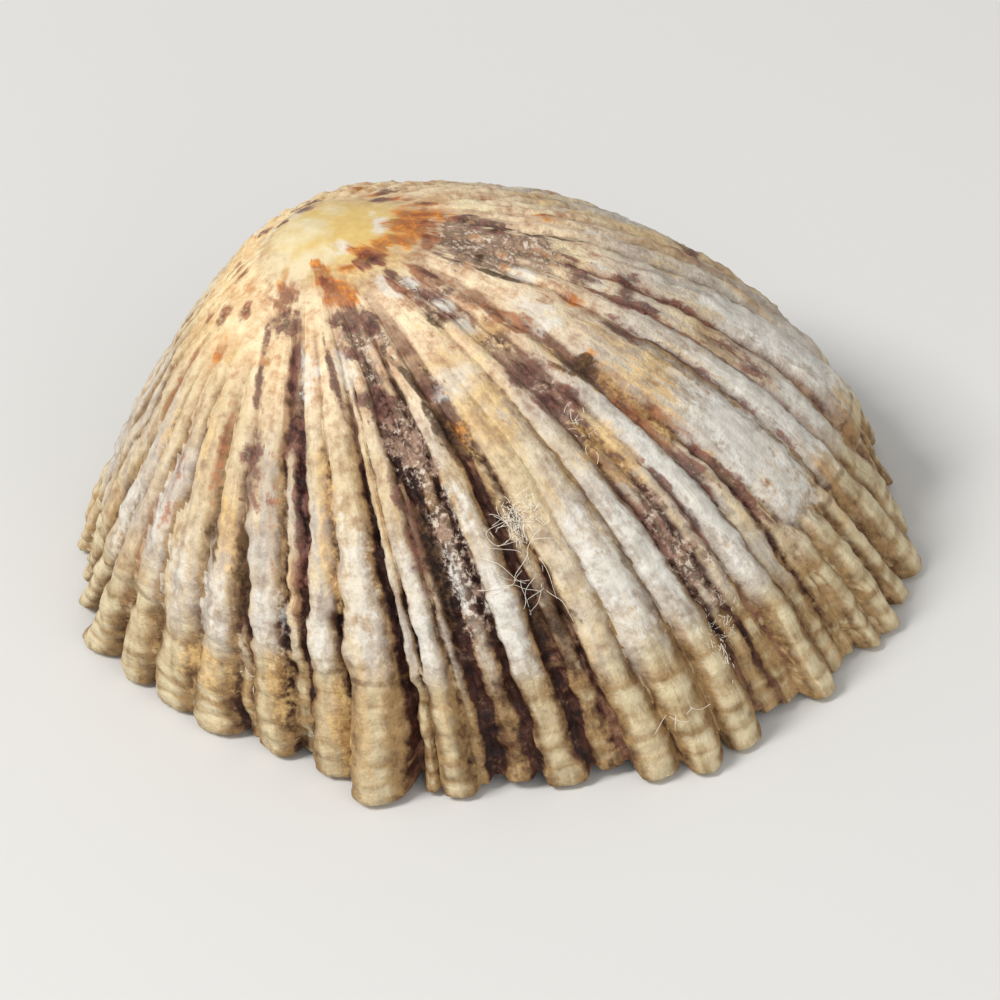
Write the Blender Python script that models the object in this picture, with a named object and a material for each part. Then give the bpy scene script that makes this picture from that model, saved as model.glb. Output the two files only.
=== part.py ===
"""A limpet shell: a low hollow cone with rounded ribs that run from the apex to the margin.

The shell is one solid. Its outside starts as a smooth cone that touches the crest of every rib, and
the grooves between the ribs are sunk into it. The shell stands on the tips of its main ribs.

Units are metres. +X is the rear end of the shell, -Y its near side and +Z is up. Angles are in
degrees round the margin, counter-clockwise from the rear. Growth runs from 0 at the apex to 1 at
the margin.
"""
import math
import random
from collections import namedtuple

import bmesh
import bpy
from mathutils import Vector

MM = 0.001

SHELL_LENGTH = 30.0 * MM
SHELL_WIDTH = 26.4 * MM
SHELL_HEIGHT = 12.8 * MM
APEX_FORWARD = 5.0 * MM      # the apex lies this far in front of the middle
APEX_LEAN = 0.7 * MM         # and this far towards the near side
REAR_FULLNESS = 0.064        # how much wider the margin is at the rear than at the front

RIB_RELIEF = 0.85 * MM       # depth of the grooves at the margin
EARLY_RELIEF = 0.15          # share of that depth which the grooves have at once
RELIEF_GROWTH = 1.4          # the rest comes with this power of the growth
SMOOTH_APEX = (0.13, 0.34)   # growth where the ribs begin and where they are fully formed
SWING_LIMIT = 0.4            # ribs swing round only over this last share of the growth
CROWN_POWER = 0.7            # roundness of a rib's cross-section
START_BLEND = 0.05           # growth over which a rib fades in
STOP_BLEND = 0.02            # growth over which a rib ends
WIDE_RIB = 4.1               # ribs wider than this, in degrees, have shoulders
SHOULDER = 0.3               # place of a shoulder, as a share of the rib's width
CHECK_AT = 0.82              # growth where the shell once stopped growing
CHECK_BLEND = 0.015          # growth over which the surface steps down there
CHECK_STEP = 0.12 * MM       # the newer shell lies this much lower

WALL_APEX = 1.8 * MM
WALL_MIDDLE = 1.15 * MM
WALL_MARGIN = 1.3 * MM
MARGIN_ZONE = (0.7, 1.0)     # growth over which grooves and tips turn level
NOTCH_ZONE = (0.85, 1.0)     # growth over which the margin lifts between the ribs
FOOT_WIDTH = 0.5 * MM        # flat width of a rib's tip
NOTCH_RISE = 0.35 * MM       # the margin lifts this much between the ribs
FOOT_HEIGHT_SHARE = 0.6      # ribs at least this high reach down to the ground

OUTER_ROWS = (0.05, 0.12, 0.2, 0.3, 0.4, 0.5, 0.6, 0.7, 0.77, 0.81, 0.84, 0.89, 0.94, 0.975, 1.0)
INNER_ROWS = (0.95, 0.82, 0.62, 0.4, 0.18)

GROWTH_PROBE = 0.01          # distances in growth and in degrees over which a slope is measured
ANGLE_PROBE = 1.0

# How the slope leaves the apex and meets the margin: reach and height of the two handles of its
# curve, as shares of the distance to the margin and of the shell's height.
Slope = namedtuple("Slope", "near_reach near_height far_reach far_height")
FRONT_SLOPE = Slope(0.275, 0.99, 0.70, 0.50)
SIDE_SLOPE = Slope(0.36, 0.97, 1.06, 0.64)
REAR_SLOPE = Slope(0.37, 1.03, 0.83, 0.63)

# One rib: angle and width at the margin in degrees, height as a share of the relief, swing in
# degrees towards the apex, growth where it starts and stops, and how far its tip reaches out in mm.
Rib = namedtuple("Rib", "angle width height swing start stop reach")
NEAR_RIBS = (
    Rib(209.0, 4.4, 0.75, 4, 0.2, 1, 0.1),
    Rib(215.5, 4.8, 0.8, 5, 0.2, 1, 0.3),
    Rib(226.0, 8.0, 1.0, 8, 0.2, 1, 0.6),
    Rib(235.2, 6.6, 0.9, 18, 0.2, 1, 0.3),
    Rib(243.8, 7.4, 1.0, 15, 0.2, 1, 0.0),
    Rib(251.8, 6.4, 0.9, 17, 0.2, 1, 0.0),
    Rib(258.2, 2.6, 0.45, 9, 0.78, 1, -0.2),
    Rib(262.2, 5.4, 0.95, 4, 0.2, 1, -0.3),
    Rib(267.5, 2.9, 0.5, 4, 0.45, 1, -0.65),
    Rib(272.4, 5.6, 0.9, 3, 0.2, 1, -0.1),
    Rib(278.9, 6.6, 1.1, 5, 0.2, 1, 0.7),
    Rib(286.0, 2.4, 0.75, 2, 0.3, 1, 0.1),
    Rib(289.4, 4.2, 0.95, -2, 0.2, 1, 0.0),
    Rib(292.6, 2.2, 0.6, -4, 0.5, 1, -0.25),
    Rib(297.3, 4.6, 0.65, -3, 0.25, 1, -0.3),
    Rib(303.4, 5.0, 0.9, -3, 0.2, 1, -0.4),
    Rib(310.9, 3.6, 0.5, -9, 0.5, 1, -0.3),
    Rib(316.0, 5.8, 0.95, -7, 0.2, 1, 0.1),
    Rib(323.6, 5.6, 1.0, -10, 0.2, 1, 0.5),
    Rib(330.2, 5.6, 0.9, -9, 0.2, 1, 0.25),
    Rib(336.0, 2.6, 0.45, -11, 0.55, 1, -0.4),
    Rib(339.8, 2.6, 0.5, -11, 0.5, 1, -0.5),
    Rib(344.0, 4.6, 0.95, -12, 0.2, 1, 0.0),
    Rib(350.0, 4.0, 0.6, -3, 0.78, 1, -0.35),
    Rib(353.4, 2.4, 0.45, 0, 0.8, 1, -0.25),
    Rib(357.0, 3.4, 0.7, 0, 0.78, 1, 0.2),
    Rib(1.4, 4.2, 0.8, 0, 0.78, 1, 0.35),
    Rib(8.0, 4.4, 0.75, 0, 0.78, 1, 0.1),
    Rib(2.0, 17.0, 1.05, 0, 0.2, 0.8, 0.0),
    Rib(15.8, 7.2, 0.85, -1, 0.25, 1, 0.3),
    Rib(26.0, 7.6, 0.8, -6, 0.25, 1, -0.2),
    Rib(34.5, 14.0, 1.35, 0, 0.2, 0.87, 0.0),
    Rib(32.5, 3.4, 0.5, 0, 0.85, 1, -0.2),
    Rib(36.8, 3.6, 0.55, 0, 0.85, 1, 0.0),
    Rib(41.3, 3.6, 0.5, 0, 0.85, 1, -0.1),
)

# The ribs of the far side follow a rule: a main rib and then a thinner one that starts later.
FAR_SIDE = (47.5, 202.5)
FAR_RIBS = 22
FAR_SEED = 11

SHELL_COLOUR = (0.60, 0.49, 0.34, 1.0)
SHELL_ROUGHNESS = 0.55
SHARP_ANGLE = 50.0           # edges sharper than this, in degrees, aren't shaded smooth


def clear_scene():
    """Remove every object that the file opened with."""
    for thing in list(bpy.data.objects):
        bpy.data.objects.remove(thing)


def smooth(low, high, value):
    """Rise softly from 0 to 1 while the value goes from low to high."""
    share = min(max((value - low) / (high - low), 0.0), 1.0)
    return share * share * (3.0 - 2.0 * share)


def far_ribs():
    """Lay out the ribs of the far side: main ribs with a thinner one after each."""
    rng = random.Random(FAR_SEED)
    first, last = FAR_SIDE
    pitch = (last - first) / (FAR_RIBS - 1)
    ribs = []
    for number in range(FAR_RIBS):
        angle = first + pitch * number + rng.uniform(-0.5, 0.5)
        width = pitch * rng.uniform(0.72, 0.82)
        ribs.append(Rib(angle, width, rng.uniform(0.85, 1.05), 0, 0.2, 1, rng.uniform(-0.25, 0.3)))
        if number < FAR_RIBS - 1:
            between = angle + 0.5 * pitch + rng.uniform(-0.15, 0.15)
            start = rng.uniform(0.45, 0.75)
            ribs.append(Rib(between, 0.32 * pitch, 0.45, 0, start, 1, rng.uniform(-0.3, 0.0)))
    return ribs


def swung(angle, swing, growth):
    """Angle of a line that follows a rib which swings round towards the apex."""
    return angle + swing * min(1.0 - growth, SWING_LIMIT)


def rib_form(ribs, angle, growth):
    """Height of the ribs at a point, as a share of the relief, and the reach of their tips."""
    height = 0.0
    reach = 0.0
    for rib in ribs:
        centre = swung(rib.angle, rib.swing, growth)
        away = abs((angle - centre + 180.0) % 360.0 - 180.0) / (0.5 * rib.width)
        if away >= 1.0:
            continue
        life = smooth(rib.start - START_BLEND, rib.start + START_BLEND, growth)
        if rib.stop < 1:
            life *= 1.0 - smooth(rib.stop - STOP_BLEND, rib.stop + STOP_BLEND, growth)
        crown = (1.0 - away * away) ** CROWN_POWER
        if rib.height * crown * life > height:
            height = rib.height * crown * life
            reach = rib.reach * MM * crown
    return height, reach


def cone_point(angle, growth):
    """Point on the smooth cone that touches the crests of the ribs."""
    turn = math.radians(angle)
    margin_x = 0.5 * SHELL_LENGTH * math.cos(turn)
    margin_y = 0.5 * SHELL_WIDTH * math.sin(turn) * (1.0 + REAR_FULLNESS * math.cos(turn))
    out_x = margin_x + APEX_FORWARD
    out_y = margin_y + APEX_LEAN
    around = math.atan2(out_y, out_x)
    front = max(-math.cos(around), 0.0) ** 2
    rear = max(math.cos(around), 0.0) ** 2
    side = math.sin(around) ** 2
    slope = [front * a + side * b + rear * c for a, b, c in zip(FRONT_SLOPE, SIDE_SLOPE, REAR_SLOPE)]
    near_reach, near_height, far_reach, far_height = slope
    left = 1.0 - growth
    reach = 3 * growth * left ** 2 * near_reach + 3 * growth ** 2 * left * far_reach + growth ** 3
    height = left ** 3 + 3 * growth * left ** 2 * near_height + 3 * growth ** 2 * left * far_height
    return Vector((reach * out_x - APEX_FORWARD, reach * out_y - APEX_LEAN, height * SHELL_HEIGHT))


def cone_normal(angle, growth, flatness=0.0):
    """Outward direction of the smooth cone; flatness 1 turns it level."""
    if growth <= 0.0:
        return Vector((0.0, 0.0, 1.0))
    above = cone_point(angle, growth - GROWTH_PROBE)
    below = cone_point(angle, min(growth + GROWTH_PROBE, 1.0))
    across = cone_point(angle + ANGLE_PROBE, growth) - cone_point(angle - ANGLE_PROBE, growth)
    normal = (below - above).cross(across).normalized()
    normal.z *= 1.0 - flatness
    return normal.normalized()


def outer_point(ribs, angle, growth):
    """Point on the ribbed outside."""
    height, reach = rib_form(ribs, angle, growth)
    deepening = EARLY_RELIEF + (1.0 - EARLY_RELIEF) * growth ** RELIEF_GROWTH
    relief = RIB_RELIEF * deepening * smooth(*SMOOTH_APEX, growth)
    step = CHECK_STEP * smooth(CHECK_AT - CHECK_BLEND, CHECK_AT + CHECK_BLEND, growth)
    sunk = relief * (1.0 - height) + step
    near_margin = smooth(*MARGIN_ZONE, growth)
    point = cone_point(angle, growth) - cone_normal(angle, growth, near_margin) * sunk
    point += cone_normal(angle, growth, 1.0) * reach * near_margin
    short = max(0.0, 1.0 - height / FOOT_HEIGHT_SHARE)
    point.z += NOTCH_RISE * short * smooth(*NOTCH_ZONE, growth)
    return point


def foot_point(ribs, angle):
    """Point on the inner edge of the margin, level with the outer edge."""
    return outer_point(ribs, angle, 1.0) - cone_normal(angle, 1.0, 1.0) * FOOT_WIDTH


def inner_point(angle, growth):
    """Point on the smooth hollow underneath."""
    wall = WALL_APEX + (WALL_MIDDLE - WALL_APEX) * smooth(0.0, 0.5, growth)
    wall += (WALL_MARGIN - WALL_MIDDLE) * smooth(0.5, 1.0, growth)
    return cone_point(angle, growth) - cone_normal(angle, growth) * wall


def rib_columns(ribs):
    """Lines from apex to margin that follow the ribs: crest and shoulders, and the grooves."""
    at_margin = sorted((rib for rib in ribs if rib.stop == 1), key=lambda rib: rib.angle)
    columns = []
    for rib, following in zip(at_margin, at_margin[1:] + at_margin[:1]):
        offsets = (-SHOULDER, 0.0, SHOULDER) if rib.width > WIDE_RIB else (0.0,)
        columns += [(rib.angle + offset * rib.width, rib.swing) for offset in offsets]
        next_angle = following.angle + (360.0 if following.angle < rib.angle else 0.0)
        groove = 0.5 * (rib.angle + 0.5 * rib.width + next_angle - 0.5 * following.width)
        columns.append((groove, 0.5 * (rib.swing + following.swing)))
    return columns


def add_shell(collection):
    """Fold a ball into the shell: its upper half is the outside, its lower half the hollow."""
    ribs = list(NEAR_RIBS) + far_ribs()
    columns = rib_columns(ribs)
    rows = len(OUTER_ROWS) + 1 + len(INNER_ROWS) + 1
    body = bmesh.new()
    bmesh.ops.create_uvsphere(body, u_segments=len(columns), v_segments=rows, radius=1.0)
    for vertex in body.verts:
        longitude = math.atan2(vertex.co.y, vertex.co.x) / math.tau
        column = round(longitude * len(columns)) % len(columns)
        row = round(math.acos(min(max(vertex.co.z, -1.0), 1.0)) / math.pi * rows)
        vertex.co = shell_point(ribs, columns[column], row)
    centre_below(body)
    mesh = bpy.data.meshes.new("shell")
    body.to_mesh(mesh)
    body.free()
    mesh.shade_smooth()
    mesh.set_sharp_from_angle(angle=math.radians(SHARP_ANGLE))
    shell = bpy.data.objects.new("shell", mesh)
    shell.data.materials.append(shell_material())
    collection.objects.link(shell)
    return shell


def shell_point(ribs, column, row):
    """Where one point of the ball goes, from its column and its row below the apex."""
    angle, swing = column
    rim_row = len(OUTER_ROWS) + 1
    if row == rim_row:
        return foot_point(ribs, angle)
    if row < rim_row:
        growth = ((0.0,) + OUTER_ROWS)[row]
        return outer_point(ribs, swung(angle, swing, growth), growth)
    growth = (INNER_ROWS + (0.0,))[row - rim_row - 1]
    return inner_point(swung(angle, swing, growth), growth)


def centre_below(body):
    """Move the body so that the middle of its box, at its lowest level, is the origin."""
    xs = [vertex.co.x for vertex in body.verts]
    ys = [vertex.co.y for vertex in body.verts]
    lowest = min(vertex.co.z for vertex in body.verts)
    offset = Vector((-0.5 * (min(xs) + max(xs)), -0.5 * (min(ys) + max(ys)), -lowest))
    bmesh.ops.translate(body, verts=body.verts, vec=offset)


def shell_material():
    """Worn, matt cream and brown shell."""
    material = bpy.data.materials.new("worn_shell")
    material.use_nodes = True
    shader = material.node_tree.nodes["Principled BSDF"]
    shader.inputs["Base Color"].default_value = SHELL_COLOUR
    shader.inputs["Roughness"].default_value = SHELL_ROUGHNESS
    shader.inputs["Metallic"].default_value = 0.0
    return material


def main():
    """Build the shell in its own collection."""
    clear_scene()
    collection = bpy.data.collections.new("limpet_shell")
    bpy.context.scene.collection.children.link(collection)
    add_shell(collection)


main()
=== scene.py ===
"""The looks of a limpet shell: its ribbed, worn outside, its glossy hollow and the lint that lies on it.

The shell is one mesh, made by a Geometry Nodes tree that folds a ball into the shell. The tree reads
two plans that this script writes: the ribs, and the marks of pigment. Angles are in degrees round
the margin, counter-clockwise from the rear end (+X). Growth runs from 0 at the apex to 1 at the
margin. Other sizes are in metres.
"""
import logging
import math
import random
from dataclasses import dataclass, field, fields
from enum import Enum
from typing import Any, Sequence

import bpy
from mathutils import Matrix, Vector


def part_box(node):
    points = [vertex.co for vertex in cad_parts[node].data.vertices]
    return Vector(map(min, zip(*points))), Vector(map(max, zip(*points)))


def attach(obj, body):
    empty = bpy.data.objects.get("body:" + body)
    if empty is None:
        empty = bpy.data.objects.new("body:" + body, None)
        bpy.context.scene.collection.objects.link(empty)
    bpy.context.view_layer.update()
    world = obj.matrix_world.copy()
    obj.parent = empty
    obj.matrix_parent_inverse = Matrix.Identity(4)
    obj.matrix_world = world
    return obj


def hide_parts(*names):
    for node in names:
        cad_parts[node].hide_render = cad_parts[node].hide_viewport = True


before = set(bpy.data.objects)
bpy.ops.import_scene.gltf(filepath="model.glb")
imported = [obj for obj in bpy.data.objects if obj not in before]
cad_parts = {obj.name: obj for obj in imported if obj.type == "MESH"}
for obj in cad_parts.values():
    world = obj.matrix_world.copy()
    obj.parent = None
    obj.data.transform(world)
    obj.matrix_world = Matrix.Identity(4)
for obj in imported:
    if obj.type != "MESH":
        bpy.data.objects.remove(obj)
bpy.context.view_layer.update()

MM = 0.001
SHELL_NODE = "shell"
SHELL_SLOT = "worn_shell"
BODY = "root"
LOG = logging.getLogger("limpet")
Socket = bpy.types.NodeSocket


def linear(colour: str) -> tuple[float, float, float, float]:
    """Turn a screen colour into the linear one that shaders use.

    Args:
        colour: Six hexadecimal digits: red, green and blue.

    Returns:
        Linear red, green and blue, and an alpha of 1.
    """
    parts = [int(colour[start:start + 2], 16) / 255.0 for start in (0, 2, 4)]
    red, green, blue = [((part + 0.055) / 1.055) ** 2.4 if part > 0.04045 else part / 12.92 for part in parts]
    return red, green, blue, 1.0


class Graph:
    """A node tree, with one method that adds any node and links or sets its sockets."""

    def __init__(self, tree: bpy.types.NodeTree) -> None:
        """Wrap a node tree."""
        self.tree = tree

    def node(self, kind: str, settings: dict[str, Any] | None = None,
             values: dict[Any, Any] | None = None) -> bpy.types.Node:
        """Add a node.

        Args:
            kind: The node's type name.
            settings: Its properties, which are set first because they change its sockets.
            values: Numbers, sockets or signals for its input sockets, by name or by place.

        Returns:
            The new node.
        """
        made = self.tree.nodes.new(kind)
        for name, value in (settings or {}).items():
            setattr(made, name, value)
        for key, value in (values or {}).items():
            self.feed(self.find(made.inputs, key), value)
        return made

    @staticmethod
    def find(sockets: Any, key: str | int) -> Socket:
        """Find an enabled socket.

        Args:
            sockets: The node's inputs or its outputs.
            key: The socket's name or its place.

        Returns:
            The socket.
        """
        if isinstance(key, int):
            return sockets[key]
        return next(socket for socket in sockets if socket.enabled and socket.name == key)

    def feed(self, socket: Socket, value: Any) -> None:
        """Link a signal or an output socket to an input socket, or set a plain value on it.

        Args:
            socket: The input socket.
            value: A signal, an output socket or a plain value.
        """
        source = value.socket if isinstance(value, Signal) else value
        if isinstance(source, Socket):
            self.tree.links.new(source, socket)
        else:
            socket.default_value = source

    def signal(self, kind: str, settings: dict[str, Any] | None = None,
               values: dict[Any, Any] | None = None, output: str | int = 0) -> "Signal":
        """Add a node and wrap one of its outputs, so that expressions can use it."""
        made = self.node(kind, settings, values)
        return Signal(self, self.find(made.outputs, output))

    def math(self, operation: str, *values: Any) -> "Signal":
        """Add a Math node."""
        return self.signal("ShaderNodeMath", {"operation": operation}, dict(enumerate(values)))

    def vector_math(self, operation: str, *values: Any) -> Socket:
        """Add a Vector Math node and return its vector."""
        return self.node("ShaderNodeVectorMath", {"operation": operation}, dict(enumerate(values))).outputs[0]

    def scaled(self, vector: Any, factor: Any) -> Socket:
        """Multiply a vector by a number."""
        made = self.node("ShaderNodeVectorMath", {"operation": "SCALE"}, {"Vector": vector, "Scale": factor})
        return made.outputs[0]

    def vector(self, x: Any, y: Any, z: Any) -> Socket:
        """Join three numbers in a vector."""
        return self.node("ShaderNodeCombineXYZ", None, {"X": x, "Y": y, "Z": z}).outputs[0]

    def noise(self, vector: Any, scale: float, detail: float = 2.0, roughness: float = 0.5) -> "Signal":
        """Add a Noise Texture and return its value, stretched to lie mostly between -1 and 1."""
        values = {"Vector": vector, "Scale": scale, "Detail": detail, "Roughness": roughness}
        return (self.signal("ShaderNodeTexNoise", None, values, "Fac") - 0.5) * 4.0

    def blend(self, factor: Any, first: Any, second: Any) -> Socket:
        """Mix two colours: the first at factor 0, the second at factor 1."""
        values = {"Factor": factor, "A": self.colour(first), "B": self.colour(second)}
        return self.find(self.node("ShaderNodeMix", {"data_type": "RGBA"}, values).outputs, "Result")

    @staticmethod
    def colour(value: Any) -> Any:
        """Read a colour that is written in hexadecimal digits, and leave a socket as it is."""
        return linear(value) if isinstance(value, str) else value


class Signal:
    """One output socket that carries a number. Operators on it add Math nodes."""

    def __init__(self, graph: Graph, socket: Socket) -> None:
        """Wrap a socket of a graph."""
        self.graph = graph
        self.socket = socket

    def __add__(self, other: Any) -> "Signal":
        """Add."""
        return self.graph.math("ADD", self, other)

    __radd__ = __add__

    def __sub__(self, other: Any) -> "Signal":
        """Subtract."""
        return self.graph.math("SUBTRACT", self, other)

    def __rsub__(self, other: Any) -> "Signal":
        """Subtract from a plain number."""
        return self.graph.math("SUBTRACT", other, self)

    def __mul__(self, other: Any) -> "Signal":
        """Multiply."""
        return self.graph.math("MULTIPLY", self, other)

    __rmul__ = __mul__

    def __truediv__(self, other: Any) -> "Signal":
        """Divide."""
        return self.graph.math("DIVIDE", self, other)

    def __pow__(self, other: Any) -> "Signal":
        """Raise to a power."""
        return self.graph.math("POWER", self, other)

    def __neg__(self) -> "Signal":
        """Change the sign."""
        return self * -1.0

    def above(self, other: Any) -> "Signal":
        """1 where this is greater than the other, else 0."""
        return self.graph.math("GREATER_THAN", self, other)

    def at_least(self, other: Any) -> "Signal":
        """The greater of two values."""
        return self.graph.math("MAXIMUM", self, other)

    def at_most(self, other: Any) -> "Signal":
        """The smaller of two values."""
        return self.graph.math("MINIMUM", self, other)

    def size(self) -> "Signal":
        """The value without its sign."""
        return self.graph.math("ABSOLUTE", self)

    def wrapped(self, low: float, high: float) -> "Signal":
        """The value brought into a range that closes on itself."""
        return self.graph.math("WRAP", self, high, low)

    def sine(self) -> "Signal":
        """Sine of an angle in radians."""
        return self.graph.math("SINE", self)

    def cosine(self) -> "Signal":
        """Cosine of an angle in radians."""
        return self.graph.math("COSINE", self)

    def root(self) -> "Signal":
        """Square root."""
        return self.graph.math("SQRT", self)

    def ramp(self, low: Any, high: Any, start: Any = 0.0, end: Any = 1.0) -> "Signal":
        """Go evenly from start to end while the value goes from low to high."""
        return self.mapped("LINEAR", low, high, start, end)

    def soft(self, low: Any, high: Any, start: Any = 0.0, end: Any = 1.0) -> "Signal":
        """Go softly from start to end while the value goes from low to high."""
        return self.mapped("SMOOTHSTEP", low, high, start, end)

    def mapped(self, curve: str, low: Any, high: Any, start: Any, end: Any) -> "Signal":
        """Add a Map Range node."""
        values = {"Value": self, "From Min": low, "From Max": high, "To Min": start, "To Max": end}
        return self.graph.signal("ShaderNodeMapRange", {"interpolation_type": curve}, values, "Result")

    def toward(self, other: Any, share: Any) -> "Signal":
        """Go from this value to another by a share from 0 to 1."""
        values = {"Factor": share, "A": self, "B": other}
        return self.graph.signal("ShaderNodeMix", {"data_type": "FLOAT"}, values, "Result")


class Pigment(Enum):
    """The kinds of mark on the shell. Each is kept in an attribute of the same name."""

    SOOT = "soot"        # blackens the grooves only
    OCHRE = "ochre"      # yellow-orange stain
    EMBER = "ember"      # orange to red-brown
    RUSSET = "russet"    # purple-red to red-brown
    PLUM = "plum"        # dark purple-brown
    UMBER = "umber"      # very dark olive-brown
    FROST = "frost"      # grey, rough and flecked with white
    CHALK = "chalk"      # white to blue-white


SOOT, OCHRE, EMBER, RUSSET, PLUM, UMBER, FROST, CHALK = Pigment


@dataclass(frozen=True)
class Rib:
    """One rib.

    Angles and widths are in degrees, at the margin, at the growth check and halfway up. Height is a
    share of the relief, start and stop are growths, and reach is in millimetres. Warmth goes from
    blue-white 0 to cream 1, and knots from smooth 0 to lumpy 1.
    """

    angles: tuple[float, float, float]
    widths: tuple[float, float, float]
    height: float
    start: float = 0.2
    stop: float = 1.0
    reach: float = 0.0
    warmth: float = 0.5
    knots: float = 0.2


@dataclass(frozen=True)
class Mark:
    """One mark of pigment.

    It has a middle, half sizes in degrees and in growth, a strength, and a slant in degrees over one
    growth.
    """

    pigment: Pigment
    angle: float
    growth: float
    spread: float
    length: float
    strength: float = 1.0
    slant: float = 0.0


NEAR_RIBS = (
    Rib((197.4, 200.2, 203.2), (3.8, 5.4, 7.0), 0.8, warmth=0.5, knots=0.4),
    Rib((201.4, 206.6, 211.6), (3.8, 5.6, 7.4), 0.85, reach=0.1, warmth=0.3, knots=0.5),
    Rib((205.2, 213.2, 219.8), (3.8, 5.8, 7.6), 0.75, reach=-0.1, warmth=0.6, knots=0.5),
    Rib((209.0, 220.0, 228.0), (5.0, 7.0, 8.0), 0.75, reach=0.1, warmth=0.7, knots=0.6),
    Rib((215.5, 228.5, 235.0), (5.6, 7.0, 6.6), 0.8, reach=0.3, warmth=0.4, knots=0.5),
    Rib((226.0, 235.2, 239.5), (8.0, 6.0, 4.2), 1.0, reach=0.6, warmth=0.6),
    Rib((235.2, 241.0, 244.0), (6.8, 6.2, 5.2), 0.9, reach=0.3, warmth=0.4),
    Rib((243.8, 248.0, 250.2), (8.0, 8.2, 7.4), 1.0, warmth=0.6),
    Rib((251.8, 255.2, 256.7), (7.2, 6.0, 6.0), 0.9, warmth=0.5, knots=0.3),
    Rib((258.2, 259.5, 260.5), (2.8, 2.4, 2.0), 0.5, start=0.78, reach=-0.2, warmth=0.6, knots=0.6),
    Rib((261.8, 263.5, 263.1), (5.6, 4.8, 7.4), 0.95, reach=-0.3, warmth=0.5, knots=0.5),
    Rib((266.8, 267.9, 268.7), (2.9, 2.4, 2.8), 0.55, start=0.45, reach=-0.65, warmth=0.5, knots=1.0),
    Rib((271.8, 272.9, 274.1), (6.0, 5.0, 5.2), 0.9, reach=-0.1, warmth=0.4, knots=0.3),
    Rib((278.8, 279.8, 279.9), (7.4, 7.4, 6.8), 1.1, reach=0.7, warmth=0.45),
    Rib((286.0, 285.9, 285.7), (2.2, 1.6, 1.6), 0.6, start=0.3, reach=0.1, warmth=0.4, knots=0.9),
    Rib((289.3, 289.0, 288.6), (4.2, 3.8, 4.0), 0.95, warmth=0.35, knots=0.5),
    Rib((292.4, 292.1, 291.4), (2.0, 1.6, 1.6), 0.45, start=0.5, reach=-0.25, warmth=0.6, knots=1.0),
    Rib((297.2, 297.0, 296.8), (4.0, 3.4, 3.6), 0.42, start=0.25, reach=-0.3, warmth=0.35, knots=1.0),
    Rib((303.8, 302.4, 302.6), (5.2, 5.0, 5.6), 0.9, reach=-0.4, warmth=0.25, knots=0.4),
    Rib((310.0, 309.3, 309.6), (3.4, 2.8, 3.6), 0.4, start=0.48, reach=-0.3, warmth=0.4, knots=1.0),
    Rib((316.3, 314.6, 315.2), (5.8, 5.8, 8.0), 0.95, reach=0.1, warmth=0.6),
    Rib((322.9, 321.5, 321.0), (6.0, 8.2, 9.4), 1.0, reach=0.5, warmth=0.3),
    Rib((329.6, 329.2, 329.0), (5.8, 5.8, 5.8), 0.9, reach=0.25, warmth=0.2),
    Rib((336.0, 335.2, 334.8), (2.8, 3.0, 3.2), 0.45, start=0.55, reach=-0.4, warmth=0.5, knots=1.0),
    Rib((339.8, 339.0, 339.4), (3.0, 3.2, 3.2), 0.5, start=0.5, reach=-0.5, warmth=0.6, knots=0.9),
    Rib((344.3, 343.8, 343.7), (5.0, 5.6, 6.2), 0.95, warmth=0.1),
    Rib((350.0, 349.5, 350.0), (4.2, 4.4, 5.2), 0.6, start=0.6, reach=-0.35, warmth=0.6, knots=0.7),
    Rib((353.4, 353.8, 354.0), (2.6, 2.6, 3.0), 0.5, start=0.62, reach=-0.25, warmth=0.7, knots=0.7),
    Rib((357.0, 356.0, 355.5), (3.8, 4.2, 4.2), 0.7, start=0.78, reach=0.2, warmth=0.6, knots=0.5),
    Rib((361.4, 361.0, 360.0), (4.6, 5.6, 5.6), 0.8, start=0.78, reach=0.35, warmth=0.5, knots=0.5),
    Rib((368.0, 366.6, 366.0), (4.8, 4.2, 4.2), 0.75, start=0.78, reach=0.1, warmth=0.6, knots=0.5),
    Rib((363.0, 362.6, 360.6), (14.0, 14.4, 18.0), 1.05, stop=0.8, warmth=0.15),
    Rib((375.8, 373.4, 374.8), (7.6, 7.6, 8.6), 0.85, start=0.25, reach=0.3, warmth=0.2),
    Rib((386.0, 382.0, 383.6), (8.0, 7.4, 9.0), 0.8, start=0.25, reach=-0.2, warmth=0.35, knots=0.4),
    Rib((394.5, 394.0, 395.0), (14.0, 15.6, 14.0), 1.35, stop=0.87, warmth=0.2),
    Rib((392.5, 391.5, 391.0), (3.6, 3.6, 3.6), 0.5, start=0.85, reach=-0.2, warmth=0.8, knots=0.7),
    Rib((396.8, 396.0, 396.0), (3.8, 3.8, 3.8), 0.55, start=0.85, warmth=0.8, knots=0.7),
    Rib((401.3, 401.0, 401.0), (3.8, 3.8, 3.8), 0.5, start=0.85, reach=-0.1, warmth=0.8, knots=0.7),
)

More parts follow.
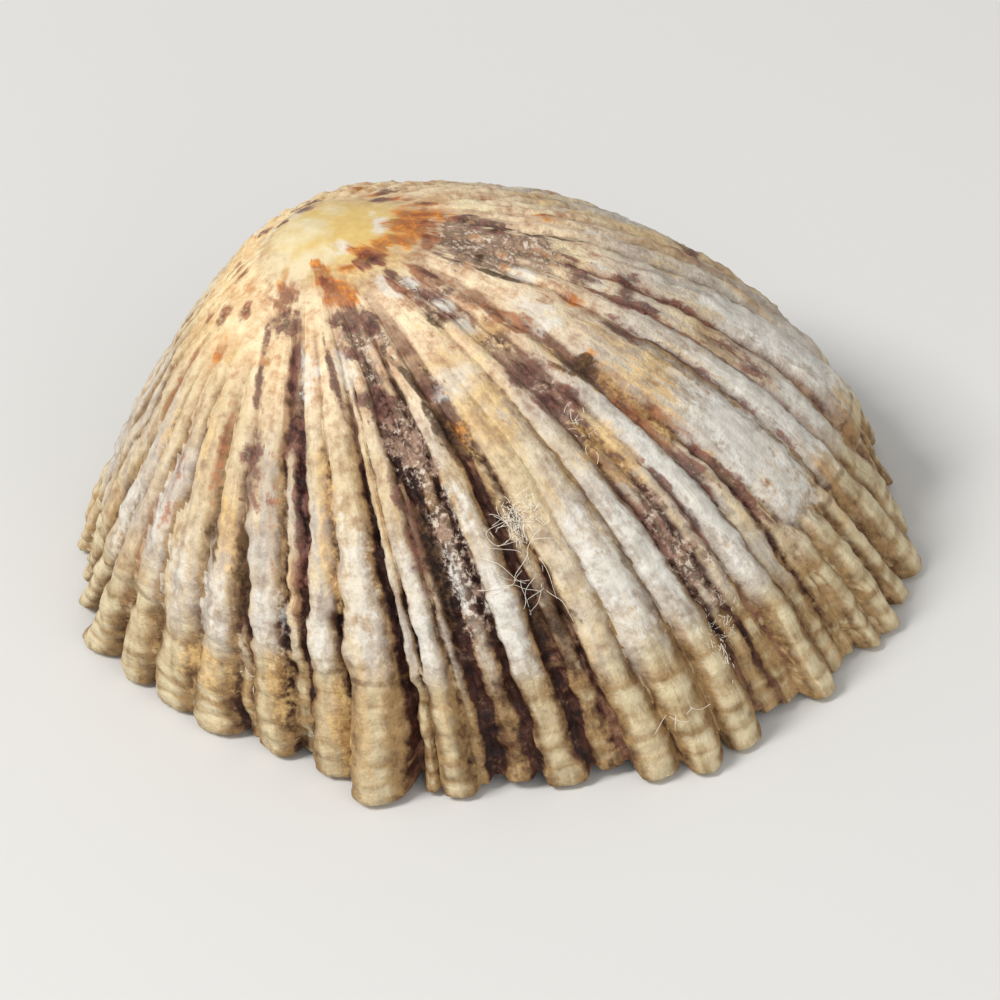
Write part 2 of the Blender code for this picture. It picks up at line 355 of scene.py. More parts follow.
NEAR_MARKS = (
    # the coloured ring below the worn apex: flames above, purple teeth below, from left to right
    Mark(RUSSET, 200.0, 0.30, 6.0, 0.03),
    Mark(RUSSET, 209.0, 0.26, 6.0, 0.03, 0.8),
    Mark(RUSSET, 219.0, 0.24, 5.0, 0.03),
    Mark(RUSSET, 224.0, 0.35, 5.0, 0.04, 0.8),
    Mark(RUSSET, 232.0, 0.31, 4.0, 0.05, 0.7),
    Mark(RUSSET, 242.0, 0.265, 4.5, 0.03, 1.3),
    Mark(EMBER, 241.0, 0.37, 4.0, 0.05, 0.7),
    Mark(OCHRE, 246.0, 0.35, 4.0, 0.04, 0.7),
    Mark(OCHRE, 253.0, 0.15, 5.0, 0.035),
    Mark(EMBER, 255.0, 0.17, 5.0, 0.03, 0.8),
    Mark(RUSSET, 260.0, 0.20, 8.0, 0.045, 1.4),
    Mark(RUSSET, 258.0, 0.222, 11.0, 0.018, 1.2),
    Mark(PLUM, 262.5, 0.255, 11.0, 0.035, 1.4),
    Mark(PLUM, 257.5, 0.33, 1.6, 0.10, 1.2, 12.0),
    Mark(PLUM, 268.6, 0.33, 2.0, 0.10, 1.2, -8.0),
    Mark(EMBER, 286.0, 0.135, 11.0, 0.055, 1.8),
    Mark(EMBER, 292.0, 0.18, 14.0, 0.045, 1.8),
    Mark(RUSSET, 287.0, 0.165, 7.0, 0.035, 1.3),
    Mark(OCHRE, 300.0, 0.15, 24.0, 0.06, 1.1),
    Mark(EMBER, 310.0, 0.13, 14.0, 0.015, 0.9),
    Mark(PLUM, 292.0, 0.232, 11.0, 0.032, 1.5),
    Mark(PLUM, 302.0, 0.245, 7.0, 0.036, 1.4),
    Mark(FROST, 292.0, 0.28, 10.0, 0.045, 1.2),
    Mark(FROST, 302.0, 0.28, 5.0, 0.035, 1.2),
    Mark(FROST, 294.0, 0.34, 5.0, 0.05, 0.8),
    Mark(PLUM, 281.2, 0.34, 1.8, 0.09, 1.3, 22.0),
    Mark(PLUM, 289.0, 0.30, 4.0, 0.022),
    Mark(PLUM, 292.0, 0.385, 7.0, 0.04, 1.2),
    Mark(UMBER, 303.0, 0.345, 2.0, 0.08, 1.3, 55.0),
    Mark(EMBER, 336.0, 0.115, 18.0, 0.035, 1.6),
    Mark(RUSSET, 332.0, 0.13, 18.0, 0.026, 1.8),
    Mark(PLUM, 330.0, 0.135, 14.0, 0.015, 1.2),
    Mark(EMBER, 356.0, 0.122, 22.0, 0.024, 1.3),
    Mark(EMBER, 371.0, 0.14, 16.0, 0.035, 1.4),
    Mark(EMBER, 392.0, 0.15, 22.0, 0.05, 1.6),
    Mark(EMBER, 412.0, 0.17, 16.0, 0.05, 1.4),
    Mark(RUSSET, 375.0, 0.178, 18.0, 0.018, 1.2),
    Mark(RUSSET, 395.0, 0.18, 16.0, 0.02),
    Mark(OCHRE, 345.0, 0.15, 26.0, 0.05, 0.6),
    Mark(PLUM, 330.0, 0.175, 6.0, 0.016, 1.2),
    Mark(RUSSET, 345.0, 0.21, 9.0, 0.04, 1.6),
    Mark(PLUM, 348.0, 0.215, 6.0, 0.022, 1.2),
    Mark(RUSSET, 326.0, 0.21, 4.0, 0.045, 1.1),
    Mark(PLUM, 333.0, 0.237, 10.0, 0.018, 1.2),
    Mark(PLUM, 342.0, 0.25, 7.0, 0.018, 1.1),
    Mark(UMBER, 326.0, 0.275, 5.0, 0.026, 1.2),
    Mark(PLUM, 333.0, 0.285, 9.0, 0.014),
    Mark(RUSSET, 345.0, 0.285, 8.0, 0.035, 1.2),
    Mark(RUSSET, 346.0, 0.315, 6.0, 0.03, 1.3),
    Mark(RUSSET, 347.0, 0.355, 6.0, 0.025, 1.1),
    Mark(FROST, 331.0, 0.22, 9.0, 0.06, 1.1),
    Mark(FROST, 333.0, 0.28, 10.0, 0.05, 1.1),
    Mark(FROST, 338.0, 0.35, 10.0, 0.035, 0.8),
    Mark(FROST, 384.0, 0.228, 30.0, 0.06, 1.8),
    Mark(FROST, 383.0, 0.275, 20.0, 0.05, 1.5),
    Mark(FROST, 388.0, 0.32, 16.0, 0.05, 1.1),
    Mark(UMBER, 374.0, 0.252, 8.0, 0.010),
    Mark(PLUM, 405.0, 0.245, 11.0, 0.03, 1.2),
    Mark(PLUM, 402.0, 0.275, 10.0, 0.03, 1.2),
    Mark(UMBER, 398.5, 0.33, 2.2, 0.07, 1.3, 25.0),
    Mark(UMBER, 365.8, 0.285, 2.2, 0.07, 1.3, 40.0),
    Mark(PLUM, 384.0, 0.385, 8.0, 0.035, 0.9),
    Mark(EMBER, 370.0, 0.385, 4.0, 0.025, 1.1),
    Mark(OCHRE, 318.0, 0.345, 8.0, 0.03, 0.8),
    Mark(OCHRE, 335.0, 0.33, 30.0, 0.06, 0.6),
    # white worn patches between them
    Mark(CHALK, 325.0, 0.08, 26.0, 0.03, 0.7),
    Mark(CHALK, 395.0, 0.108, 34.0, 0.022, 1.1),
    Mark(CHALK, 321.0, 0.187, 7.0, 0.035, 1.6),
    Mark(CHALK, 322.0, 0.215, 5.0, 0.025, 1.2),
    Mark(CHALK, 334.0, 0.205, 6.0, 0.018, 1.2),
    Mark(CHALK, 336.0, 0.26, 6.0, 0.024, 1.4),
    Mark(CHALK, 334.0, 0.31, 7.0, 0.026, 1.6),
    Mark(CHALK, 371.0, 0.315, 5.0, 0.026, 1.4),
    Mark(CHALK, 356.0, 0.355, 9.0, 0.06, 0.9),
    Mark(CHALK, 316.0, 0.385, 9.0, 0.035, 1.2),
    Mark(CHALK, 285.5, 0.335, 4.0, 0.05, 1.2),
    Mark(CHALK, 384.0, 0.41, 9.0, 0.03, 0.8),
    Mark(CHALK, 273.0, 0.34, 5.0, 0.08, 0.9),
    # pits, flames and stains lower down
    Mark(FROST, 296.0, 0.46, 6.0, 0.11, 1.8),
    Mark(FROST, 297.0, 0.64, 4.0, 0.14, 1.2),
    Mark(PLUM, 308.0, 0.375, 4.0, 0.02),
    Mark(UMBER, 305.6, 0.45, 3.2, 0.05, 1.6),
    Mark(EMBER, 309.5, 0.445, 3.0, 0.035, 0.35),
    Mark(OCHRE, 316.0, 0.455, 8.0, 0.06, 1.2),
    Mark(OCHRE, 321.0, 0.42, 8.0, 0.05, 0.9),
    Mark(PLUM, 335.0, 0.413, 8.0, 0.03, 1.5),
    Mark(PLUM, 340.0, 0.475, 2.6, 0.032, 1.5),
    Mark(PLUM, 335.0, 0.46, 5.0, 0.03, 1.0),
    Mark(FROST, 336.0, 0.45, 8.0, 0.06, 0.9),
    Mark(UMBER, 348.5, 0.453, 5.0, 0.038, 1.7),
    Mark(EMBER, 353.5, 0.455, 3.6, 0.030, 0.4),
    Mark(OCHRE, 352.0, 0.52, 6.0, 0.09, 1.3),
    Mark(RUSSET, 348.0, 0.54, 3.0, 0.07, 1.0),
    Mark(PLUM, 367.5, 0.462, 4.0, 0.045, 1.3, 25.0),
    Mark(PLUM, 379.0, 0.465, 3.5, 0.045, 1.2, 20.0),
    Mark(PLUM, 385.0, 0.455, 9.0, 0.02, 1.2),
    Mark(PLUM, 386.5, 0.51, 2.5, 0.04, 1.2),
    Mark(PLUM, 382.5, 0.60, 4.0, 0.05, 0.9),
    Mark(PLUM, 381.0, 0.655, 3.5, 0.035, 0.9),
    Mark(OCHRE, 336.0, 0.57, 6.0, 0.07, 1.4),
    Mark(FROST, 335.5, 0.70, 4.2, 0.14, 1.6),
    Mark(PLUM, 333.0, 0.65, 3.0, 0.10, 0.6),
    Mark(PLUM, 340.6, 0.68, 1.5, 0.10, 1.2),
    Mark(PLUM, 353.0, 0.70, 2.0, 0.10, 1.4),
    Mark(PLUM, 348.5, 0.66, 2.4, 0.05, 1.3),
    Mark(UMBER, 308.5, 0.745, 5.0, 0.05, 1.2),
    Mark(PLUM, 269.8, 0.46, 4.0, 0.045, 1.3),
    Mark(PLUM, 270.3, 0.58, 2.2, 0.16, 1.3),
    Mark(UMBER, 259.2, 0.68, 1.5, 0.14, 0.8),
    Mark(PLUM, 258.6, 0.505, 2.0, 0.025, 1.3),
    Mark(PLUM, 260.5, 0.53, 3.6, 0.10, 0.9),
    Mark(OCHRE, 257.0, 0.63, 4.0, 0.08, 0.9),
    Mark(UMBER, 253.8, 0.66, 1.6, 0.06, 1.2),
    Mark(OCHRE, 275.8, 0.60, 2.4, 0.16, 1.2),
    Mark(OCHRE, 274.4, 0.91, 2.0, 0.10, 1.3),
    Mark(OCHRE, 264.5, 0.86, 2.0, 0.08, 0.8),
    Mark(UMBER, 293.3, 0.64, 2.0, 0.12, 1.4),
    Mark(PLUM, 291.5, 0.60, 2.4, 0.10, 1.1),
    Mark(OCHRE, 252.0, 0.88, 6.0, 0.06, 0.8),
    Mark(RUSSET, 224.5, 0.50, 1.6, 0.10, 0.5),
    Mark(RUSSET, 231.5, 0.46, 1.4, 0.14, 0.6),
    Mark(OCHRE, 236.5, 0.58, 2.4, 0.12, 0.5),
    Mark(RUSSET, 243.0, 0.56, 1.3, 0.16, 0.7),
    Mark(OCHRE, 249.0, 0.52, 3.0, 0.12, 0.5),
    Mark(RUSSET, 252.4, 0.50, 1.4, 0.14, 0.7),
    Mark(RUSSET, 264.8, 0.60, 1.4, 0.16, 0.5),
    Mark(PLUM, 370.6, 0.56, 1.3, 0.20, 0.9),
    Mark(RUSSET, 378.4, 0.50, 1.7, 0.22, 0.9),
    Mark(PLUM, 378.8, 0.62, 1.2, 0.12, 0.8),
    Mark(RUSSET, 387.2, 0.46, 2.0, 0.20, 1.0),
    Mark(PLUM, 387.4, 0.58, 1.4, 0.16, 0.9),
    Mark(RUSSET, 403.0, 0.52, 2.0, 0.20, 0.9),
    Mark(RUSSET, 353.6, 0.60, 1.2, 0.16, 0.8),
    Mark(OCHRE, 362.0, 0.46, 6.0, 0.10, 0.7),
    Mark(OCHRE, 346.0, 0.42, 4.0, 0.10, 0.6),
    # pale crests in the middle of the ribs
    Mark(CHALK, 230.0, 0.73, 3.5, 0.10, 0.8),
    Mark(CHALK, 241.5, 0.68, 3.0, 0.09, 0.7),
    Mark(CHALK, 248.0, 0.73, 3.5, 0.09, 0.6),
    Mark(CHALK, 255.0, 0.75, 3.0, 0.08, 0.8),
    Mark(CHALK, 264.5, 0.745, 2.4, 0.08, 0.9),
    Mark(CHALK, 272.5, 0.75, 2.4, 0.08, 0.8),
    Mark(CHALK, 279.8, 0.68, 3.0, 0.14, 0.9),
    Mark(CHALK, 288.8, 0.71, 2.4, 0.12, 0.8),
    Mark(CHALK, 296.5, 0.67, 2.4, 0.06, 0.9),
    Mark(CHALK, 302.3, 0.73, 3.0, 0.10, 0.8),
    Mark(CHALK, 302.0, 0.57, 2.6, 0.07, 0.7),
    Mark(CHALK, 321.3, 0.71, 5.0, 0.11, 1.0),
    Mark(CHALK, 329.2, 0.71, 3.6, 0.12, 1.1),
    Mark(CHALK, 344.0, 0.66, 4.0, 0.16, 1.5),
    Mark(CHALK, 362.0, 0.68, 8.0, 0.14, 1.5),
    Mark(CHALK, 374.5, 0.66, 4.8, 0.14, 1.3),
    Mark(CHALK, 382.0, 0.72, 3.4, 0.07, 0.9),
    Mark(CHALK, 395.0, 0.68, 7.0, 0.18, 1.5),
    # where the grooves are black
    Mark(SOOT, 240.0, 0.80, 22.0, 0.30, 0.5),
    Mark(SOOT, 271.0, 0.74, 22.0, 0.50, 1.8),
    Mark(SOOT, 297.0, 0.72, 22.0, 0.50, 2.2),
    Mark(SOOT, 335.0, 0.76, 8.0, 0.30, 0.9),
    Mark(SOOT, 351.0, 0.80, 8.0, 0.30, 0.9),
)


@dataclass(frozen=True)
class FarSide:
    """The rule for the hidden side: its ends in degrees, and the ranges of its ribs and marks."""

    first: float = 47.5
    last: float = 193.6
    ribs: int = 22
    sway: float = 0.5
    fill: tuple[float, float] = (0.72, 0.82)
    widening: tuple[float, float, float] = (1.0, 1.15, 1.2)
    heights: tuple[float, float] = (0.85, 1.05)
    reaches: tuple[float, float] = (-0.25, 0.3)
    warmths: tuple[float, ...] = (0.2, 0.4, 0.6)
    thin_sway: float = 0.15
    thin_width: float = 0.32
    thin_height: float = 0.45
    thin_starts: tuple[float, float] = (0.45, 0.75)
    thin_reaches: tuple[float, float] = (-0.3, 0.0)
    thin_knots: float = 0.8
    marks: int = 46
    mark_sway: float = 3.0
    young_growths: tuple[float, float] = (0.13, 0.32)
    old_growths: tuple[float, float] = (0.35, 0.75)
    mark_widths: tuple[float, float] = (1.2, 2.6)
    mark_lengths: tuple[float, float] = (0.015, 0.05)
    mark_strengths: tuple[float, float] = (0.7, 1.3)
    pigments: tuple[Pigment, ...] = (EMBER, PLUM, PLUM, OCHRE, CHALK)
    soot: tuple[Mark, ...] = (
        Mark(SOOT, 95.0, 0.75, 45.0, 0.4, 1.2),
        Mark(SOOT, 165.0, 0.8, 30.0, 0.3),
    )

    def plan_ribs(self, rng: random.Random) -> list[Rib]:
        """Draw the main ribs, and a thin rib between each two of them.

        Args:
            rng: Where the random numbers come from.

        Returns:
            The ribs.
        """
        pitch = (self.last - self.first) / (self.ribs - 1)
        ribs = []
        for number in range(self.ribs):
            angle = self.first + pitch * number + rng.uniform(-self.sway, self.sway)
            width = pitch * rng.uniform(*self.fill)
            height = rng.uniform(*self.heights)
            reach = rng.uniform(*self.reaches)
            warmth = self.warmths[number % len(self.warmths)]
            widths = tuple(share * width for share in self.widening)
            ribs.append(Rib((angle,) * 3, widths, height, reach=reach, warmth=warmth))
            if number < self.ribs - 1:
                between = angle + 0.5 * pitch + rng.uniform(-self.thin_sway, self.thin_sway)
                start = rng.uniform(*self.thin_starts)
                reach = rng.uniform(*self.thin_reaches)
                widths = (self.thin_width * pitch,) * 3
                ribs.append(Rib((between,) * 3, widths, self.thin_height, start=start, reach=reach,
                                knots=self.thin_knots))
        return ribs

    def plan_marks(self, rng: random.Random) -> list[Mark]:
        """Strew the marks.

        Args:
            rng: Where the random numbers come from.

        Returns:
            The marks.
        """
        marks = []
        for number in range(self.marks):
            pigment = rng.choice(self.pigments)
            angle = self.first + (self.last - self.first) * number / self.marks
            angle += rng.uniform(-self.mark_sway, self.mark_sway)
            growth = rng.choice((rng.uniform(*self.young_growths), rng.uniform(*self.old_growths)))
            spread = rng.uniform(*self.mark_widths) / growth
            length = rng.uniform(*self.mark_lengths)
            marks.append(Mark(pigment, angle, growth, spread, length, rng.uniform(*self.mark_strengths)))
        return marks + list(self.soot)


@dataclass
class ShellForm:
    """The shape of the shell, with its sizes, and the Geometry Nodes tree that makes it.

    The slopes hold the two handles of the cone's profile at the front, the side and the rear: how
    far out and how high each lies, as shares of the whole. A cut says how finely a noise is cut
    round the shell and along its growth. What keeps ribs apart gives each a noise of its own.
    """

    length: float = 30.0 * MM
    width: float = 26.4 * MM
    height: float = 12.8 * MM
    apex_forward: float = 5.0 * MM
    apex_lean: float = 0.7 * MM
    rear_fullness: float = 0.064
    relief: float = 0.85 * MM
    check_at: float = 0.82
    check_half: float = 0.012
    check_step: float = 0.12 * MM
    wall_apex: float = 1.8 * MM
    wall_middle: float = 1.15 * MM
    wall_margin: float = 1.3 * MM
    notch_rise: float = 0.35 * MM
    lining_relief: float = 0.3 * MM
    rounding: float = 0.12 * MM
    swell: float = 0.1 * MM
    vein_swell: float = 0.06 * MM
    columns: int = 600
    rows: int = 165
    seed: int = 11
    far_side: FarSide = FarSide()
    slopes: dict[str, tuple[float, float, float, float]] = field(default_factory=lambda: {
        "front": (0.275, 0.99, 0.70, 0.50),
        "side": (0.36, 0.97, 1.06, 0.64),
        "rear": (0.37, 1.03, 0.83, 0.63),
    })

    OUTER_SHARE = 0.80
    RIM_SHARE = 0.83
    ROW_SPREAD = 0.85
    DENSE_AT = 300.0
    DENSITY = 0.4
    DEGREES = 180.0 / math.pi
    BROAD_SWAY_CUT = (4.0, 7.0)
    FINE_SWAY_CUT = (20.0, 26.0)
    FIBRE_CUT = (45.0, 5.0)
    VEIN_CUT = (14.0, 2.0)
    STREAK_CUT = (25.0, 12.0)
    WRINKLE_CUT = (6.0, 50.0)
    PATCH_CUT = 18.0
    EDGE_CUT = 17.0
    EDGES_APART = 3.7
    SIDES_APART = 1.9
    LUMP_CUT = (0.15, 32.0)
    LUMPS_APART = 2.3
    RIB_AT_CHECK = 0.8
    RIB_HALFWAY = 0.55
    RIB_FADE = 0.05
    BROAD_SCALE = 350.0
    FINE_SCALE = 1700.0

    def ribs(self) -> list[Rib]:
        """List all ribs: those of the near side, and those of the far side, which follow a rule."""
        return list(NEAR_RIBS) + self.far_side.plan_ribs(random.Random(self.seed))

    def marks(self) -> list[Mark]:
        """List all marks: those of the near side, and those of the far side, strewn by a rule."""
        return list(NEAR_MARKS) + self.far_side.plan_marks(random.Random(self.seed))

    def build(self, material: bpy.types.Material) -> bpy.types.Object:
        """Make the shell's mesh.

        Args:
            material: The shell's finish.

        Returns:
            The shell, as a plain mesh that stands where the CAD solid stands.
        """
        plans = {
            "Ribs": plan_object("rib_plan", self.ribs()),
            "Marks": plan_object("mark_plan", self.marks()),
        }
        graph, sockets = self.grow()
        inputs = {
            "Length": self.length, "Width": self.width, "Height": self.height,
            "Apex Forward": self.apex_forward, "Apex Lean": self.apex_lean,
            "Rear Fullness": self.rear_fullness, "Relief": self.relief,
            "Check Step": self.check_step, "Wall Apex": self.wall_apex,
            "Wall Middle": self.wall_middle, "Wall Margin": self.wall_margin,
            "Notch Rise": self.notch_rise, "Columns": self.columns, "Rows": self.rows,
            "Material": material, **plans,
        }
        shell = plain_mesh("limpet_shell", graph.tree, sockets, inputs)
        for plan in plans.values():
            bpy.data.objects.remove(plan)
        stand_in_box(shell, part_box(SHELL_NODE))
        return shell

    def grow(self) -> tuple[Graph, dict[str, str]]:
        """Write the tree that folds a ball into the shell.

        Returns:
            The tree's graph, and the identifier of each named input.
        """
        graph, sockets, given = new_tree("grow_shell", {
            "Ribs": "Object", "Marks": "Object", "Material": "Material", "Columns": "Int", "Rows": "Int",
            "Length": "Float", "Width": "Float", "Height": "Float", "Apex Forward": "Float",
            "Apex Lean": "Float", "Rear Fullness": "Float", "Relief": "Float", "Check Step": "Float",
            "Wall Apex": "Float", "Wall Middle": "Float", "Wall Margin": "Float", "Notch Rise": "Float",
        })
        values = {"Segments": given["Columns"], "Rings": given["Rows"]}
        ball = graph.node("GeometryNodeMeshUVSphere", None, values)
        shell = self.chart(graph, ball.outputs["Mesh"])
        shell = self.raise_ribs(graph, shell, given["Ribs"])
        shell = self.lay_marks(graph, shell, given["Marks"])
        end_tree(graph, self.fold(graph, shell, given), given["Material"])
        return graph, sockets

    def chart(self, graph: Graph, shell: Socket) -> Socket:
        """Give each point of the ball its angle and growth, and say whether it is inside.

        Args:
            graph: The tree.
            shell: The ball.

        Returns:
            The ball with its chart.
        """
        place = graph.node("GeometryNodeInputPosition").outputs[0]
        parts = graph.node("ShaderNodeSeparateXYZ", None, {0: place}).outputs
        x, y, z = [Signal(graph, part) for part in parts]
        angle = graph.math("ARCTAN2", y, x) * self.DEGREES
        down = graph.math("ARCCOSINE", z) / math.pi
        outer = down.ramp(0.0, self.OUTER_SHARE) ** self.ROW_SPREAD
        inner = down.ramp(self.RIM_SHARE, 1.0)
        # the side that shows most gets more columns than the other
        off_middle = (angle - self.DENSE_AT) / self.DEGREES
        angle = angle - off_middle.sine() * (self.DENSITY * self.DEGREES)
        shell = store(graph, shell, "angle", angle.wrapped(0.0, 360.0))
        shell = store(graph, shell, "growth", outer - inner)
        return store(graph, shell, "inside", down.ramp(self.OUTER_SHARE, self.RIM_SHARE))

    def sway(self, graph: Graph, shell: Socket) -> Socket:
        """Keep the noises that follow the ribs: how they sway, their fibres, veins and tatters.

        Args:
            graph: The tree.
            shell: The ball with its chart.

        Returns:
            The ball with the noises.
        """
        growth = stored(graph, "growth")
        angle = stored(graph, "angle")
        turn = angle / self.DEGREES
        ring = around(graph, turn, growth, self.BROAD_SWAY_CUT)
        finer = around(graph, turn, growth, self.FINE_SWAY_CUT)
        sway = graph.noise(ring, 1.0) * 0.4 + graph.noise(finer, 1.0) * 0.45
        swayed = angle + sway * growth.soft(0.2, 0.5)
        shell = store(graph, shell, "swayed", swayed)
        swayed = swayed / self.DEGREES
        shell = store(graph, shell, "fibre", around(graph, swayed, growth, self.FIBRE_CUT), "FLOAT_VECTOR")
        veins = around(graph, swayed, growth, self.VEIN_CUT)
        shell = store(graph, shell, "vein", graph.noise(veins, 1.0, 3.0))
        across = growth * self.PATCH_CUT
        patches = graph.vector(turn.cosine() * across, turn.sine() * across, 0.0)
        streaks = around(graph, swayed, growth, self.STREAK_CUT)
        tatter = graph.noise(streaks, 1.0, 3.0) * growth.soft(0.1, 0.4, 0.1, 0.35)
        return store(graph, shell, "tatter", graph.noise(patches, 2.0, 3.0, 0.6) * 0.4 + tatter)

    def raise_ribs(self, graph: Graph, shell: Socket, plan: Signal) -> Socket:
        """Go through the rib plan and keep, at each point, the highest rib.

        Args:
            graph: The tree.
            shell: The ball with its chart.
            plan: The object that holds the rib plan.

        Returns:
            The ball with what it needs to know of its ribs.
        """
        ribs = graph.node("GeometryNodeObjectInfo", None, {"Object": plan}).outputs["Geometry"]
        start, end, number = repeat(graph, self.sway(graph, shell), ribs)
        growth = stored(graph, "growth")
        halfway = growth.soft(self.RIB_AT_CHECK, self.RIB_HALFWAY)

        def value(name: str) -> Signal:
            """One value of the rib whose turn it is."""
            return pick(graph, ribs, name, number)

        def along_rib(name: str) -> Signal:
            """A value that the rib has at the margin, at the check and halfway up."""
            upper = value(name + "_1").toward(value(name + "_2"), halfway)
            return upper.toward(value(name + "_0"), growth.ramp(self.RIB_AT_CHECK, 1.0))

        gap = (stored(graph, "swayed") - along_rib("angles")).wrapped(-180.0, 180.0)
        right = gap.above(0.0)
        knots = value("knots")
        apart = number * self.EDGES_APART + right * self.SIDES_APART
        edge = graph.noise(graph.vector(apart, growth * self.EDGE_CUT, 0.0), 1.0, 3.0)
        half = along_rib("widths") * (0.5 + 0.14 * right + edge * (0.07 + 0.12 * knots))
        across = gap / half
        # a rib falls more gently on its right, and is flatter on top towards the margin
        crown = (1.0 - across * across).at_least(0.0) ** (growth.soft(0.85, 1.0, 0.4, 0.3) + 0.25 * right)
        life = growth.soft(value("start") - self.RIB_FADE, value("start") + self.RIB_FADE)
        ended = growth.soft(value("stop") - 0.04, value("stop") + 0.03) * (1.0 - value("stop").above(0.99))
        alive = life * (1.0 - ended)
        across_rib, along = self.LUMP_CUT
        lumps = graph.vector(number * self.LUMPS_APART, growth * along, gap * across_rib)
        lump = graph.noise(lumps, 1.0, 2.0)
        level = value("height") * crown * alive * (1.0 + lump * (0.06 + 0.25 * knots))
        best = level.above(stored(graph, "crest"))
        found = {
            "reach": value("reach") * crown * MM,
            "warmth": value("warmth"),
            "crown": crown * alive * (value("height") * 1.4).at_most(1.0),
            # flank: place across the rib, negative on its left and positive on its right; the finish browns
            # right flanks with it, partly as painted shade
            "flank": across,
        }
        body = start.outputs["Geometry"]
        for name, signal in found.items():
            body = store(graph, body, name, stored(graph, name).toward(signal, best))
        body = store(graph, body, "crest", level.at_least(stored(graph, "crest")))
        graph.feed(end.inputs["Geometry"], body)
        return end.outputs["Geometry"]

    def lay_marks(self, graph: Graph, shell: Socket, plan: Signal) -> Socket:
        """Go through the mark plan and keep, at each point, how deep it lies in marks of each pigment.

        Args:
            graph: The tree.
            shell: The ball with its ribs.
            plan: The object that holds the mark plan.

        Returns:
            The ball with its marks.
        """
        marks = graph.node("GeometryNodeObjectInfo", None, {"Object": plan}).outputs["Geometry"]
        start, end, number = repeat(graph, shell, marks)

        def value(name: str) -> Signal:
            """One value of the mark whose turn it is."""
            return pick(graph, marks, name, number)

        names = graph.node("GeometryNodeIndexSwitch", {"data_type": "STRING"})
        while len(names.index_switch_items) < len(Pigment):
            names.index_switch_items.new()
        for place, pigment in enumerate(Pigment):
            names.inputs[place + 1].default_value = pigment.value
        graph.feed(names.inputs["Index"], value("pigment"))
        name = names.outputs[0]
        growth = stored(graph, "growth") - value("growth")
        across = (stored(graph, "angle") - value("angle") - value("slant") * growth).wrapped(-180.0, 180.0)
        far = ((across / value("spread")) ** 2.0 + (growth / value("length")) ** 2.0).root()
        depth = (1.0 - far + stored(graph, "tatter")).at_least(0.0) * value("strength")
        depth = stored(graph, name).at_least(depth)
        graph.feed(end.inputs["Geometry"], store(graph, start.outputs["Geometry"], name, depth))
        return end.outputs["Geometry"]

    def fold(self, graph: Graph, shell: Socket,
             given: dict[str, Signal]) -> Socket:
        """Move the ball's points to the shell: out to the ribs outside, in by the wall inside.

        Args:
            graph: The tree.
            shell: The ball with its ribs and marks.
            given: The tree's inputs, by name.

        Returns:
            The folded shell.
        """
        growth = stored(graph, "growth")
        inside = stored(graph, "inside")
        crest = stored(graph, "crest")
        base, outward = self.cone(graph, given)
        sunk = self.relief_depth(graph, given)
        outer = stored(graph, "reach") * growth.soft(0.7, 1.0) - sunk + self.roughness(graph, base)
        wall = given["Wall Apex"].toward(given["Wall Middle"], growth.soft(0.0, 0.5))
        wall = wall.toward(given["Wall Margin"], growth.soft(0.5, 1.0))
        inner = self.lining_relief * (crest - 0.5) * growth.soft(0.75, 1.0) - wall
        offset = graph.scaled(outward, outer.toward(inner, inside))
        short = (1.0 - crest / 0.6).at_least(0.0)
        lift = given["Notch Rise"] * short * growth.soft(0.85, 1.0)
        edge = (1.0 - (inside * math.pi).sine()) * growth.soft(0.94, 1.0) * self.rounding
        base = graph.vector_math("ADD", base, graph.vector(0.0, 0.0, lift + edge))
        values = {"Geometry": shell, "Position": graph.vector_math("ADD", base, offset)}
        return graph.node("GeometryNodeSetPosition", None, values).outputs[0]

    def cone(self, graph: Graph,
             given: dict[str, Signal]) -> tuple[Socket, Socket]:
        """Work out the smooth cone under the ribs: a curve with two handles from the apex to the margin.

        Args:
            graph: The tree.
            given: The tree's inputs, by name.

        Returns:
            The place of each point on the cone, and the direction outwards from it.
        """
        growth = stored(graph, "growth")
        inside = stored(graph, "inside")
        turn = stored(graph, "angle") / self.DEGREES
        half_length = given["Length"] * 0.5
        half_width = given["Width"] * 0.5
        cos, sin = turn.cosine(), turn.sine()
        out_x = half_length * cos + given["Apex Forward"]
        out_y = half_width * sin * (1.0 + given["Rear Fullness"] * cos) + given["Apex Lean"]
        away = (out_x * out_x + out_y * out_y).root()
        front = (-out_x / away).at_least(0.0) ** 2.0
        rear = (out_x / away).at_least(0.0) ** 2.0
        side = (out_y / away) ** 2.0
        slopes = zip(self.slopes["front"], self.slopes["side"], self.slopes["rear"])
        handles = [front * a + side * b + rear * c for a, b, c in slopes]
        near_reach, near_height, far_reach, far_height = handles
        left = 1.0 - growth
        early = 3.0 * growth * left * left
        late = 3.0 * growth * growth * left
        reach = early * near_reach + late * far_reach + growth ** 3.0
        level = left ** 3.0 + early * near_height + late * far_height
